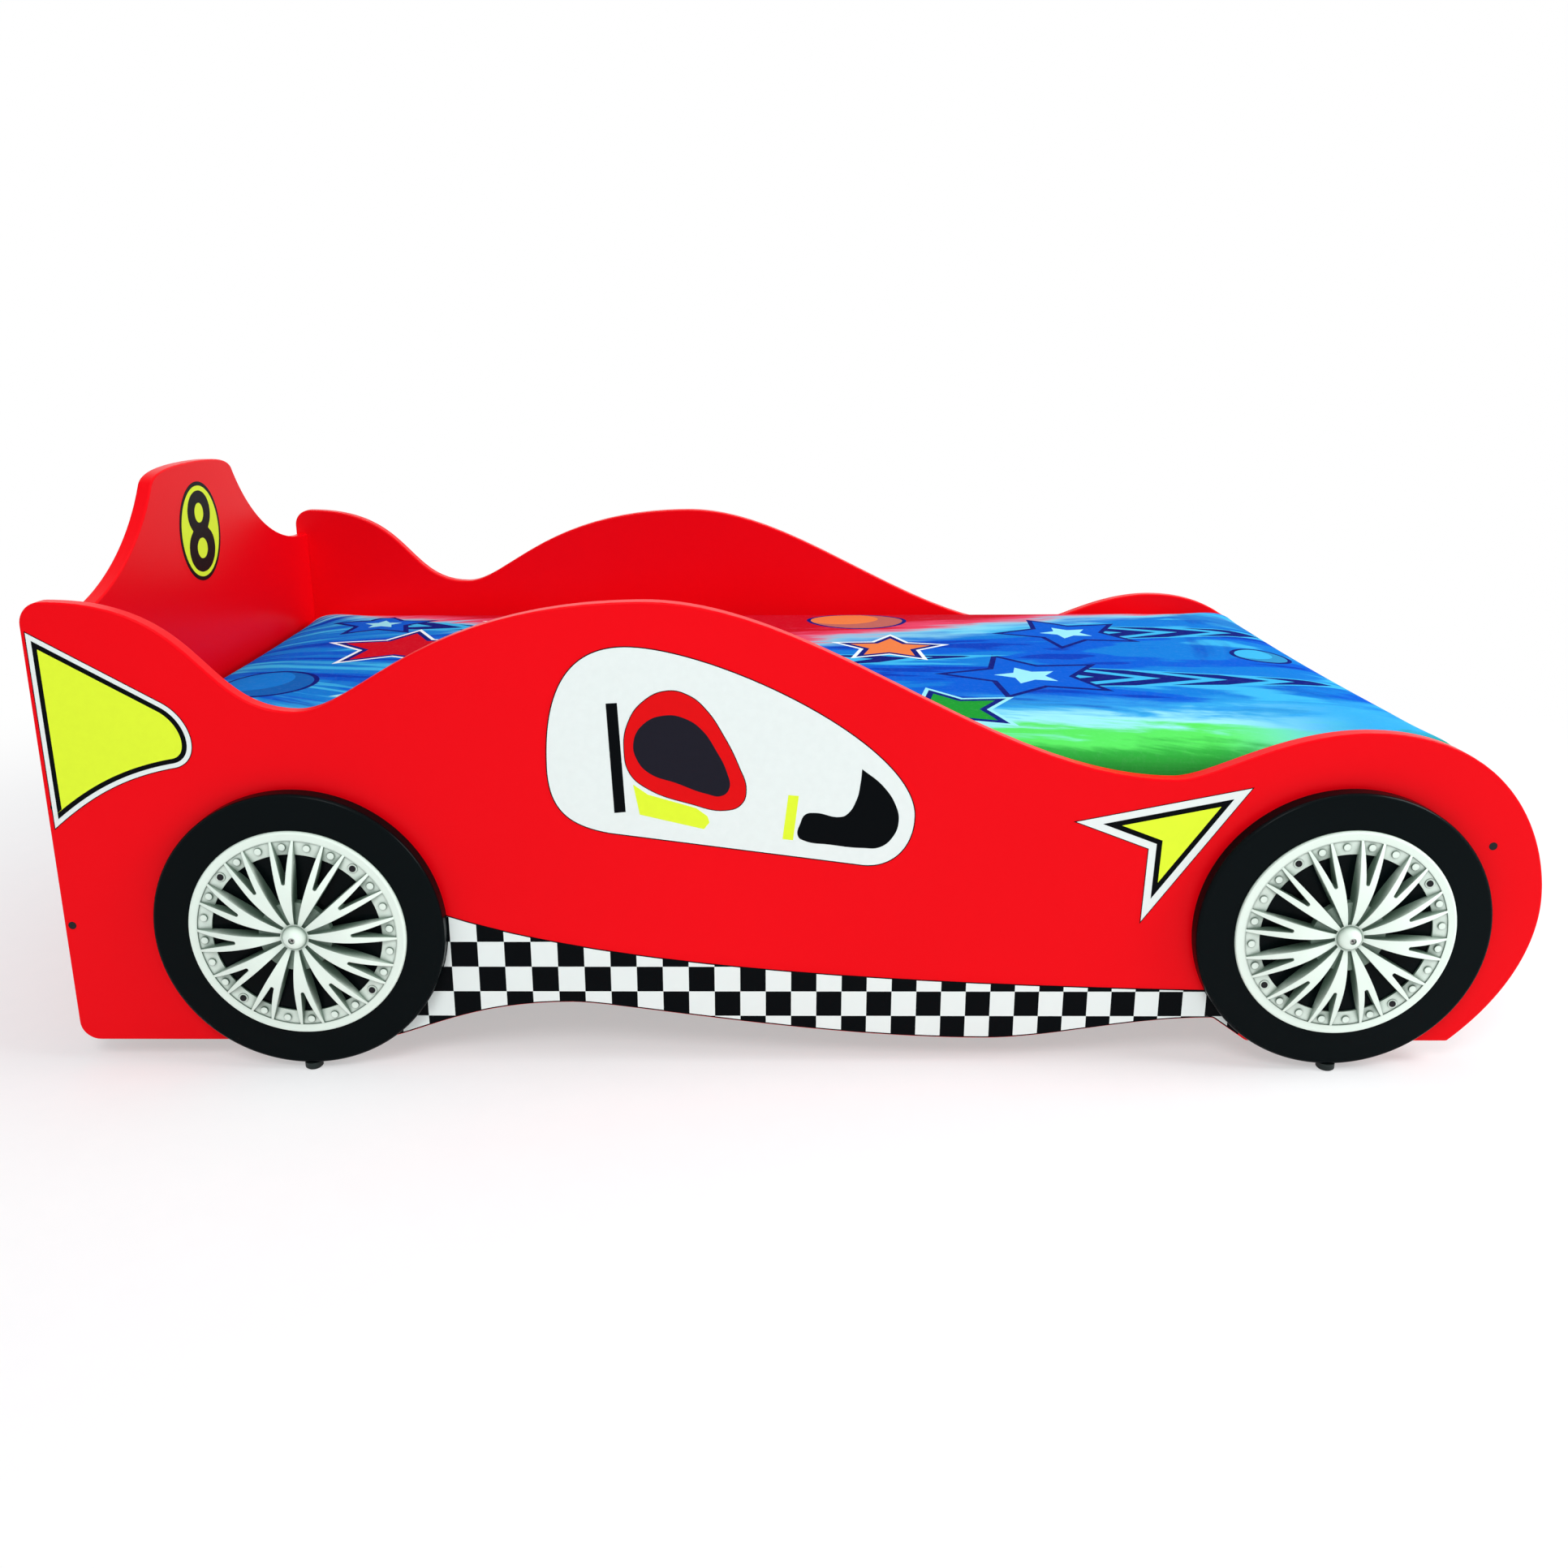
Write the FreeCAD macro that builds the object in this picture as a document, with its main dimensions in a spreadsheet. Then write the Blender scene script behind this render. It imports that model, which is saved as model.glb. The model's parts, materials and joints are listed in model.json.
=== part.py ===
import FreeCAD, Part
import math
import os
import Sketcher

# Child's bed in the shape of a racing car.
# X runs from the headboard (rear of the car) to the nose, Y across the bed, Z up.
# The origin is on the floor, in the middle of the bed.

os.makedirs("parts", exist_ok=True)
doc = FreeCAD.newDocument("car_bed")
V = FreeCAD.Vector

# ---------------------------------------------------------------- driving sizes (mm)
SIZES = (
    # boards and the room between them
    ("board_thickness", 16.0, "painted board of the panels and wheel discs"),
    ("board_edge_radius", 2.0, "rounding of the painted board edges"),
    ("inner_width", 720.0, "between the two side panels"),
    ("mattress_length", 1400.0, "nominal mattress"),
    ("mattress_width", 704.0, "nominal mattress with its cover"),
    ("mattress_thickness", 100.0, "at its edge"),
    ("mattress_crown", 7.0, "rise of the top in the middle"),
    ("mattress_corner", 34.0, "rounding of its corners in plan"),
    ("mattress_top_roll", 24.0, "rounding of its upper edge"),
    ("mattress_bottom_roll", 12.0, "rounding of its lower edge"),
    ("mattress_end_draw", 12.0, "how far its short sides draw in"),
    ("mattress_side_draw", 5.0, "how far its long sides draw in"),
    ("mattress_room", 5.0, "spare length between headboard and footboard"),
    ("soft_clearance", 0.3, "between the mattress and what it lies on"),
    ("base_height", 234.7, "top of the slats above the floor"),
    ("nose_overhang", 49.0, "from the footboard to the tip of the nose"),
    # outline of the side panels
    ("panel_bottom", 25.0, "lower edge above the floor"),
    ("rear_corner_radius", 22.5, "upper rear corner"),
    ("rear_foot_radius", 20.0, "lower rear corner"),
    ("rear_fender_height", 487.0, "top of the rear fender"),
    ("rear_dip_from_rear", 255.8, "lowest point behind the roof"),
    ("rear_dip_height", 378.5, "its height"),
    ("roof_from_rear", 595.9, "highest point of the roof"),
    ("roof_height", 486.0, "its height"),
    ("front_dip_from_nose", 372.4, "lowest point of the way in"),
    ("front_dip_height", 308.5, "its height"),
    ("front_fender_from_nose", 188.2, "highest point of the front fender"),
    ("front_fender_height", 355.5, "its height"),
    ("nose_height", 173.0, "height of the foremost point"),
    ("nose_toe_from_nose", 74.0, "sharp lower front corner"),
    ("sill_rear_from_rear", 298.0, "start of the raised sill"),
    ("sill_crest_from_rear", 512.4, "highest point of the sill"),
    ("sill_crest_height", 68.2, "its height"),
    ("sill_low_from_nose", 550.3, "lowest point of the sill"),
    ("sill_low_height", 27.8, "its height"),
    ("sill_front_from_nose", 316.0, "upper end of the front step"),
    ("sill_front_height", 51.0, "its height"),
    ("front_step_from_nose", 280.0, "lower end of the front step"),
    ("step_radius", 8.0, "bends of the front step"),
    ("toe_radius", 3.0, "rounding of the lower front corner"),
    # headboard and footboard
    ("headboard_bottom", 60.0, "lower edge above the floor"),
    ("headboard_height", 589.0, "top of the spoiler"),
    ("headboard_shoulder_height", 451.5, "where it meets the side panels"),
    ("footboard_bottom", 90.0, "lower edge above the floor"),
    ("footboard_height", 262.0, "upper edge above the floor"),
    # wheels
    ("rear_wheel_from_rear", 243.5, "rear wheel centre"),
    ("front_wheel_from_nose", 200.0, "front wheel centre"),
    ("wheel_height", 153.5, "wheel centre above the floor"),
    ("tyre_diameter", 292.0, "black wheel disc"),
    ("tyre_edge_radius", 4.0, "rounding of the outer edge of the disc"),
    ("cover_diameter", 218.0, "white wheel cover"),
    ("cover_hub_height", 19.0, "top of the hub above the disc"),
    ("cover_neck_height", 9.6, "spokes beside the hub"),
    ("cover_crown_height", 15.4, "spokes at their highest"),
    ("cover_lip_height", 3.2, "outer lip"),
    ("cover_shelf_height", 2.2, "ring that carries the studs"),
    ("cover_flange_height", 7.6, "ring round the hub"),
    ("cover_rim_drop", 0.7, "from the spokes' tips down to the rim beside them"),
    ("hub_seat_depth", 3.6, "how deep the hub's screw sits in the dome"),
    ("stud_diameter", 7.0, "studs on the ring"),
    ("stud_height", 1.8, "studs on the ring"),
    ("collar_diameter", 9.4, "collars round the screws"),
    ("collar_height", 0.8, "collars round the screws"),
    ("glide_diameter", 18.0, "plastic glide under each wheel disc"),
    # slatted base
    ("cleat_width", 28.0, "batten on the side panel"),
    ("cleat_depth", 40.0, "height of the batten"),
    ("slat_width", 62.0, "one slat"),
    ("slat_thickness", 18.0, "one slat"),
    ("slat_end_gap", 2.0, "between a slat end and the side panel"),
    # screws
    ("panel_screw_shank", 5.0, "connecting screw"),
    ("panel_screw_head", 8.0, "connecting screw"),
    ("panel_screw_head_height", 4.0, "connecting screw"),
    ("panel_screw_length", 50.0, "connecting screw, whole"),
    ("panel_screw_low", 154.0, "rear screws, height of the lowest"),
    ("panel_screw_middle", 281.0, "rear screws, height of the middle one"),
    ("panel_screw_high", 399.0, "rear screws, height of the highest"),
    ("front_screw_low", 153.5, "front screws, height of the lower"),
    ("front_screw_high", 239.5, "front screws, height of the upper"),
    ("wood_screw_shank", 3.6, "screws of cleats, slats and discs"),
    ("wood_screw_head", 7.4, "screws of cleats, slats and discs"),
    ("wood_screw_head_height", 2.6, "screws of cleats, slats and discs"),
    ("cover_screw_shank", 3.0, "screws of the wheel covers"),
    ("cover_screw_head", 6.0, "screws of the wheel covers"),
    ("cover_screw_head_height", 1.8, "screws of the wheel covers"),
    ("screw_clearance", 0.2, "round every shank and head, on the radius"),
    # printed film
    ("film_thickness", 0.3, "stickers"),
)

sheet = doc.addObject("Spreadsheet::Sheet", "Sizes")
for row, (alias, value, note) in enumerate(SIZES, start=1):
    sheet.set("A%d" % row, alias)
    sheet.set("B%d" % row, str(value))
    sheet.setAlias("B%d" % row, alias)
    sheet.set("C%d" % row, note)
doc.recompute()


def size(alias):
    return float(sheet.get(alias))


# ---------------------------------------------------------------- places worked out from them
board = size("board_thickness")
half_inner = size("inner_width") / 2
half_outer = half_inner + board
inner_length = size("mattress_length") + size("mattress_room")
overall_length = board + inner_length + board + size("nose_overhang")
rear_x = -overall_length / 2
nose_x = overall_length / 2
headboard_x = rear_x + board
footboard_x = headboard_x + inner_length
wheel_z = size("wheel_height")
tyre_radius = size("tyre_diameter") / 2
wheel_x = {
    "rear": rear_x + size("rear_wheel_from_rear"),
    "front": nose_x - size("front_wheel_from_nose"),
}
SIDES = {"right": -1, "left": 1}          # the car faces +X, so its right side is at -Y
WHEELS = [(end, side) for end in ("rear", "front") for side in ("right", "left")]
clear = size("screw_clearance")

cleat_top = size("base_height") - size("slat_thickness")
cleat_bottom = cleat_top - size("cleat_depth")


# ---------------------------------------------------------------- drawing helpers
def new_body(name, position=V(0, 0, 0), rotation=FreeCAD.Rotation()):
    body = doc.addObject("PartDesign::Body", name)
    body.Label = name
    body.Placement = FreeCAD.Placement(position, rotation)
    return body


def origin_feature(body, role):
    for feature in body.Origin.OriginFeatures:
        if feature.Role == role:
            return feature
    raise ValueError(role)


def new_sketch(body, role, name, offset=0.0):
    sketch = body.newObject("Sketcher::SketchObject", name)
    sketch.AttachmentSupport = [(origin_feature(body, role), "")]
    sketch.MapMode = "FlatFace"
    sketch.AttachmentOffset = FreeCAD.Placement(V(0, 0, offset), FreeCAD.Rotation())
    return sketch


def flat(point):
    return V(point[0], point[1], 0)


def line(start, end):
    return Part.LineSegment(flat(start), flat(end))


def arc(start, middle, end):
    return Part.Arc(flat(start), flat(middle), flat(end))


def curve(start, start_pull, end_pull, end):
    bezier = Part.BezierCurve()
    bezier.setPoles([flat(start), flat(start_pull), flat(end_pull), flat(end)])
    return bezier.toBSpline()


def circle(sketch, centre, diameter_expression):
    ring = Part.Circle(flat(centre), V(0, 0, 1), 1.0)
    index = sketch.addGeometry(ring, False)
    number = sketch.addConstraint(Sketcher.Constraint("Diameter", index, 2.0))
    sketch.setExpression("Constraints[%d]" % number, diameter_expression)
    return index


def rectangle(sketch, corner, width_expression, height_expression):
    x, y = corner
    points = [(x, y), (x + 10, y), (x + 10, y + 10), (x, y + 10)]
    first = sketch.GeometryCount
    for i in range(4):
        sketch.addGeometry(line(points[i], points[(i + 1) % 4]), False)
    for i in range(4):
        sketch.addConstraint(Sketcher.Constraint("Coincident", first + i, 2, first + (i + 1) % 4, 1))
    for i in (0, 2):
        sketch.addConstraint(Sketcher.Constraint("Horizontal", first + i))
    for i in (1, 3):
        sketch.addConstraint(Sketcher.Constraint("Vertical", first + i))
    sketch.addConstraint(Sketcher.Constraint("DistanceX", -1, 1, first, 1, x))
    sketch.addConstraint(Sketcher.Constraint("DistanceY", -1, 1, first, 1, y))
    wide = sketch.addConstraint(Sketcher.Constraint("DistanceX", first, 1, first, 2, 10.0))
    high = sketch.addConstraint(Sketcher.Constraint("DistanceY", first + 1, 1, first + 1, 2, 10.0))
    sketch.setExpression("Constraints[%d]" % wide, width_expression)
    sketch.setExpression("Constraints[%d]" % high, height_expression)


def outline(sketch, pieces):
    for piece in pieces:
        sketch.addGeometry(piece, False)


def pad(body, sketch, length_expression, reversed_side=False):
    feature = body.newObject("PartDesign::Pad", sketch.Name + "_pad")
    feature.Profile = sketch
    feature.setExpression("Length", length_expression)
    feature.Reversed = reversed_side
    sketch.Visibility = False
    doc.recompute()
    return feature


def pocket(body, sketch, length_expression=None, reversed_side=False):
    before = body.Shape.Volume
    feature = body.newObject("PartDesign::Pocket", sketch.Name + "_pocket")
    feature.Profile = sketch
    if length_expression is None:
        feature.Type = "ThroughAll"
    else:
        feature.setExpression("Length", length_expression)
    feature.Reversed = reversed_side
    doc.recompute()
    if body.Shape.Volume > before - 1e-3:
        raise RuntimeError("%s cut nothing from %s" % (sketch.Name, body.Label))
    return feature


def polar(body, features, count):
    pattern = body.newObject("PartDesign::PolarPattern", features[0].Name + "_round")
    pattern.Originals = features
    pattern.Axis = (origin_feature(body, "Z_Axis"), [""])
    pattern.Angle = 360
    pattern.Occurrences = count
    body.Tip = pattern
    doc.recompute()
    return pattern


def revolved(body, pieces, name):
    sketch = new_sketch(body, "XZ_Plane", name)
    outline(sketch, pieces)
    feature = body.newObject("PartDesign::Revolution", name + "_turn")
    feature.Profile = sketch
    feature.ReferenceAxis = (origin_feature(body, "Z_Axis"), [""])
    feature.Angle = 360
    doc.recompute()
    return feature


def round_edges(body, name, radius_expression, wanted):
    """Rounds the edges of the body's shape for which wanted(edge) is true."""
    base = body.Tip
    names = ["Edge%d" % (i + 1) for i, edge in enumerate(base.Shape.Edges) if wanted(edge)]
    feature = body.newObject("PartDesign::Fillet", name)
    feature.Base = (base, names)
    feature.setExpression("Radius", radius_expression)
    doc.recompute()
    return feature


def shape_node(name, shape, placement=FreeCAD.Placement()):
    node = doc.addObject("Part::Feature", name)
    node.Label = name
    node.Shape = shape
    node.Placement = placement
    return node


def screw(shank, head, head_height, length):
    """A plain screw along Z, with its head's face at 0 and its end at -length."""
    body = Part.makeCylinder(head / 2, head_height, V(0, 0, -head_height))
    body = body.fuse(Part.makeCylinder(shank / 2, length, V(0, 0, -length)))
    return body.removeSplitter()


def screw_group(name, screws):
    """One node of separate screws: each is a solid, a face centre and an outward direction."""
    solids = []
    for solid, face, outward in screws:
        placed = solid.copy()
        placed.Placement = FreeCAD.Placement(face, FreeCAD.Rotation(V(0, 0, 1), outward))
        solids.append(placed)
    return shape_node(name, Part.makeCompound(solids))


# ---------------------------------------------------------------- screws and where they sit
panel_screw = screw(
    size("panel_screw_shank"), size("panel_screw_head"),
    size("panel_screw_head_height"), size("panel_screw_length"),
)
rear_screw_x = rear_x + board / 2
front_screw_x = footboard_x + board / 2
rear_screw_points = [
    (rear_screw_x, size("panel_screw_" + name)) for name in ("low", "middle", "high")
]
front_screw_points = [(front_screw_x, size("front_screw_" + name)) for name in ("low", "high")]
panel_screw_points = rear_screw_points + front_screw_points

# screws that hold each wheel disc, driven from inside the bed
disc_screw_reach = 12.0
disc_screw_offsets = ((-45.0, 0.0), (45.0, 0.0), (0.0, -60.0))
disc_screw_points = [
    (wheel_x[end] + dx, wheel_z + dz) for end in ("rear", "front") for dx, dz in disc_screw_offsets
]

# screws that hold the cleats to the side panels
cleat_screw_count = 6
cleat_screw_reach = 12.0
cleat_end_gap = 2.0
cleat_length = inner_length - 2 * cleat_end_gap
cleat_x = headboard_x + cleat_end_gap
cleat_screw_z = cleat_bottom + size("cleat_depth") * 0.4
cleat_screw_x = [
    cleat_x + cleat_length * (i + 0.5) / cleat_screw_count for i in range(cleat_screw_count)
]

# slats and the screw at each end of a slat
slat_count = 11
slat_edge_room = 12.0
slat_length = size("inner_width") - 2 * size("slat_end_gap")
slat_first_x = headboard_x + slat_edge_room
slat_pitch = (inner_length - 2 * slat_edge_room - size("slat_width")) / (slat_count - 1)
slat_screw_y = half_inner - size("cleat_width") / 2
slat_screw_reach = 22.0


# ---------------------------------------------------------------- side panels
def rounded_corner(before, corner, after, radius):
    """Ends and middle of the arc that rounds the corner between two straight lines."""
    to_before = (flat(before) - flat(corner)).normalize()
    to_after = (flat(after) - flat(corner)).normalize()
    half_angle = to_before.getAngle(to_after) / 2
    halfway = (to_before + to_after).normalize()
    reach = radius / math.tan(half_angle)
    depth = radius / math.sin(half_angle) - radius
    start = flat(corner) + to_before * reach
    middle = flat(corner) + halfway * depth
    end = flat(corner) + to_after * reach
    return [(point.x, point.y) for point in (start, middle, end)]


def panel_outline():
    """The car's outline: fender, dip, roof, dip, fender and nose, then the sill back to the rear."""
    bottom = size("panel_bottom")
    corner = size("rear_corner_radius")
    foot = size("rear_foot_radius")
    diagonal = math.sqrt(0.5)
    top_rear = (rear_x + corner, size("rear_fender_height"))
    rear_dip = (rear_x + size("rear_dip_from_rear"), size("rear_dip_height"))
    roof = (rear_x + size("roof_from_rear"), size("roof_height"))
    front_dip = (nose_x - size("front_dip_from_nose"), size("front_dip_height"))
    fender = (nose_x - size("front_fender_from_nose"), size("front_fender_height"))
    nose = (nose_x, size("nose_height"))
    toe = (nose_x - size("nose_toe_from_nose"), bottom)
    step_low = (nose_x - size("front_step_from_nose"), bottom)
    step_high = (nose_x - size("sill_front_from_nose"), size("sill_front_height"))
    sill_low = (nose_x - size("sill_low_from_nose"), size("sill_low_height"))
    crest = (rear_x + size("sill_crest_from_rear"), size("sill_crest_height"))
    sill_rear = (rear_x + size("sill_rear_from_rear"), bottom)

    low_bend = rounded_corner(toe, step_low, step_high, size("step_radius"))
    high_bend = rounded_corner(step_low, step_high, (sill_low[0], step_high[1]), size("step_radius"))

    def wave(start, end, start_pull, end_pull):
        """From one level stretch to the next; the pulls are shares of the distance between them."""
        span = end[0] - start[0]
        return curve(
            start, (start[0] + span * start_pull, start[1]),
            (end[0] - span * end_pull, end[1]), end,
        )

    nose_drop = fender[1] - nose[1]
    toe_rise = nose[1] - toe[1]
    toe_run = nose[0] - toe[0]
    toe_pull = (toe[0] + toe_run * 0.82, toe[1] + toe_rise * 0.38)
    toe_bend = rounded_corner(toe_pull, toe, step_low, size("toe_radius"))
    return [
        line((rear_x, bottom + foot), (rear_x, top_rear[1] - corner)),
        arc(
            (rear_x, top_rear[1] - corner),
            (rear_x + corner * (1 - diagonal), top_rear[1] - corner * (1 - diagonal)),
            top_rear,
        ),
        wave(top_rear, rear_dip, 0.66, 0.42),
        wave(rear_dip, roof, 0.175, 0.645),
        wave(roof, front_dip, 0.32, 0.34),
        wave(front_dip, fender, 0.2, 0.46),
        curve(
            fender, (fender[0] + (nose[0] - fender[0]) * 0.79, fender[1]),
            (nose[0], nose[1] + nose_drop * 0.33), nose,
        ),
        curve(nose, (nose[0], nose[1] - toe_rise * 0.24), toe_pull, toe_bend[0]),
        arc(*toe_bend),
        line(toe_bend[2], low_bend[0]),
        arc(*low_bend),
        line(low_bend[2], high_bend[0]),
        arc(*high_bend),
        wave(high_bend[2], sill_low, 0.38, 0.31),
        wave(sill_low, crest, 0.42, 0.12),
        wave(crest, sill_rear, 0.56, 0.22),
        line(sill_rear, (rear_x + foot, bottom)),
        arc(
            (rear_x + foot, bottom),
            (rear_x + foot * (1 - diagonal), bottom + foot * (1 - diagonal)),
            (rear_x, bottom + foot),
        ),
    ]


def is_outline_edge(y_faces):
    """Edges that lie in one of the board's two faces and are not screw holes."""
    def wanted(edge):
        box = edge.BoundBox
        in_face = any(abs(box.YMin - y) < 1e-4 and abs(box.YMax - y) < 1e-4 for y in y_faces)
        return in_face and max(box.XLength, box.ZLength) > 12.0
    return wanted


def side_panel(side_name):
    """A side board. Its sketch plane is the outer face; the board grows inwards from there."""
    side = SIDES[side_name]
    inward = side < 0
    body = new_body("side_panel_" + side_name)
    body.setExpression(
        "Placement.Base.y",
        "%d * (Sizes.inner_width / 2 + Sizes.board_thickness)" % side,
    )
    profile = new_sketch(body, "XZ_Plane", "outline_" + side_name)
    outline(profile, panel_outline())
    pad(body, profile, "Sizes.board_thickness", inward)

    inner_face = side * -board
    round_edges(body, "edges_" + side_name, "Sizes.board_edge_radius", is_outline_edge((0.0, inner_face)))

    shanks = new_sketch(body, "XZ_Plane", "shanks_" + side_name)
    for point in panel_screw_points:
        circle(shanks, point, "Sizes.panel_screw_shank + 2 * Sizes.screw_clearance")
    for point in disc_screw_points:
        circle(shanks, point, "Sizes.wood_screw_shank + 2 * Sizes.screw_clearance")
    pocket(body, shanks, None, not inward)

    heads = new_sketch(body, "XZ_Plane", "heads_" + side_name)
    for point in panel_screw_points:
        circle(heads, point, "Sizes.panel_screw_head + 2 * Sizes.screw_clearance")
    pocket(body, heads, "Sizes.panel_screw_head_height", not inward)

    pilots = new_sketch(body, "XZ_Plane", "cleat_pilots_" + side_name, -inner_face)
    for x in cleat_screw_x:
        circle(pilots, (x, cleat_screw_z), "Sizes.wood_screw_shank + 2 * Sizes.screw_clearance")
    pocket(body, pilots, "%g + 2 * Sizes.screw_clearance" % cleat_screw_reach, inward)
    return body


# ---------------------------------------------------------------- headboard and footboard
def end_bores(body, points, across_x, reach):
    """Bores for the connecting screws, sunk from both ends of a cross board."""
    for side_name, side in SIDES.items():
        bores = new_sketch(body, "XZ_Plane", body.Label + "_bores_" + side_name, -side * half_inner)
        for z in points:
            circle(bores, (across_x, z), "Sizes.panel_screw_shank + 2 * Sizes.screw_clearance")
        pocket(body, bores, "%g + 2 * Sizes.screw_clearance" % reach, side > 0)


def headboard():
    """A spoiler: a crowned middle, rounded shoulders and flanks that sweep out to the side panels."""
    body = new_body("headboard", V(rear_x, 0, 0))
    low = size("headboard_bottom")
    top = (0.0, size("headboard_height"))
    shoulder = (112.0, size("headboard_height") - 17.5)
    end = (half_inner, size("headboard_shoulder_height"))

    def mirrored(point):
        return (-point[0], point[1])

    crown = (top, (78.0, top[1]), (105.0, shoulder[1] + 11.0), shoulder)
    flank = (shoulder, (146.0, shoulder[1] - 53.0), (225.0, end[1]), end)
    pieces = [
        line((-half_inner, low), (half_inner, low)),
        line((half_inner, low), end),
        curve(*reversed(flank)),
        curve(*reversed(crown)),
        curve(*[mirrored(point) for point in crown]),
        curve(*[mirrored(point) for point in flank]),
        line(mirrored(end), (-half_inner, low)),
    ]
    profile = new_sketch(body, "YZ_Plane", "spoiler")
    outline(profile, pieces)
    pad(body, profile, "Sizes.board_thickness")

    def top_edge(edge):
        box = edge.BoundBox
        in_face = box.XLength < 1e-4
        return in_face and box.YLength > 30 and box.ZMin > low + 50
    round_edges(body, "spoiler_edges", "Sizes.board_edge_radius", top_edge)
    reach = size("panel_screw_length") - board
    end_bores(body, [z for x, z in rear_screw_points], board / 2, reach)
    return body


def footboard():
    """The low cross board that stops the mattress at the nose."""
    body = new_body("footboard", V(footboard_x, 0, 0))
    profile = new_sketch(body, "YZ_Plane", "foot_outline")
    rectangle(
        profile, (-half_inner, size("footboard_bottom")),
        "Sizes.inner_width", "Sizes.footboard_height - Sizes.footboard_bottom",
    )
    pad(body, profile, "Sizes.board_thickness")

    def top_edge(edge):
        box = edge.BoundBox
        return box.YLength > size("inner_width") - 1 and box.ZMin > size("footboard_height") - 1
    round_edges(body, "foot_edges", "Sizes.board_edge_radius", top_edge)
    reach = size("panel_screw_length") - board
    end_bores(body, [z for x, z in front_screw_points], board / 2, reach)
    return body


# ---------------------------------------------------------------- slatted base
def cleat(side_name):
    """Batten that carries the slats, screwed to the inner face of a side panel."""
    side = SIDES[side_name]
    inner = half_inner - size("cleat_width")
    body = new_body("cleat_" + side_name)
    profile = new_sketch(body, "XZ_Plane", "cleat_outline_" + side_name, -side * half_inner)
    rectangle(profile, (cleat_x, cleat_bottom), "%g" % cleat_length, "Sizes.cleat_depth")
    pad(body, profile, "Sizes.cleat_width", side < 0)

    inner_plane = -side * inner
    shanks = new_sketch(body, "XZ_Plane", "cleat_shanks_" + side_name, inner_plane)
    heads = new_sketch(body, "XZ_Plane", "cleat_heads_" + side_name, inner_plane)
    for x in cleat_screw_x:
        circle(shanks, (x, cleat_screw_z), "Sizes.wood_screw_shank + 2 * Sizes.screw_clearance")
        circle(heads, (x, cleat_screw_z), "Sizes.wood_screw_head + 2 * Sizes.screw_clearance")
    pocket(body, shanks, None, side < 0)
    pocket(body, heads, "Sizes.wood_screw_head_height", side < 0)

    pilots = new_sketch(body, "XY_Plane", "slat_pilots_" + side_name, cleat_top)
    for i in range(slat_count):
        x = slat_first_x + slat_pitch * i + size("slat_width") / 2
        circle(pilots, (x, side * slat_screw_y), "Sizes.wood_screw_shank + 2 * Sizes.screw_clearance")
    pocket(body, pilots, "%g + 2 * Sizes.screw_clearance" % slat_screw_reach)
    return body


def slat(number):
    x = slat_first_x + slat_pitch * (number - 1)
    body = new_body("slat_%02d" % number, V(x, 0, cleat_top))
    profile = new_sketch(body, "XY_Plane", "slat_outline_%02d" % number)
    rectangle(profile, (0.0, -slat_length / 2), "Sizes.slat_width", "%g" % slat_length)
    pad(body, profile, "Sizes.slat_thickness")
    middle = size("slat_width") / 2
    shanks = new_sketch(body, "XY_Plane", "slat_shanks_%02d" % number, size("slat_thickness"))
    heads = new_sketch(body, "XY_Plane", "slat_heads_%02d" % number, size("slat_thickness"))
    for side in SIDES.values():
        circle(shanks, (middle, side * slat_screw_y), "Sizes.wood_screw_shank + 2 * Sizes.screw_clearance")
        circle(heads, (middle, side * slat_screw_y), "Sizes.wood_screw_head + 2 * Sizes.screw_clearance")
    pocket(body, shanks)
    pocket(body, heads, "Sizes.wood_screw_head_height")
    return body


# ---------------------------------------------------------------- wheels
UPRIGHT = {
    "right": FreeCAD.Rotation(V(1, 0, 0), 90),
    "left": FreeCAD.Rotation(V(0, 0, 1), 180).multiply(FreeCAD.Rotation(V(1, 0, 0), 90)),
}
cover_radius = size("cover_diameter") / 2
stud_radius = cover_radius * 0.855            # circle of studs and screws on the cover
cover_screw_reach = 10.0
hub_screw_reach = 11.0
hub_seat_height = size("cover_hub_height") - size("hub_seat_depth")
FIRST_SCREW_ANGLE = {"rear": 48.9, "front": 35.9}   # as the covers are fitted on the bed
STUD_STEP = 15.0                              # from one stud or screw to the next
LOCAL_SCREW_ANGLE = STUD_STEP
glide_pin_diameter = 4.0
glide_pin_length = 14.0


def wheel_placement(end, side_name, distance):
    """Local Z points outwards from the side of the bed; distance is from the bed's middle plane."""
    return V(wheel_x[end], SIDES[side_name] * distance, wheel_z), UPRIGHT[side_name]


def turned(radius, degrees):
    angle = math.radians(degrees)
    return (radius * math.cos(angle), radius * math.sin(angle))


def mirror_if_left(side_name, dx):
    return dx if side_name == "right" else -dx


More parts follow.
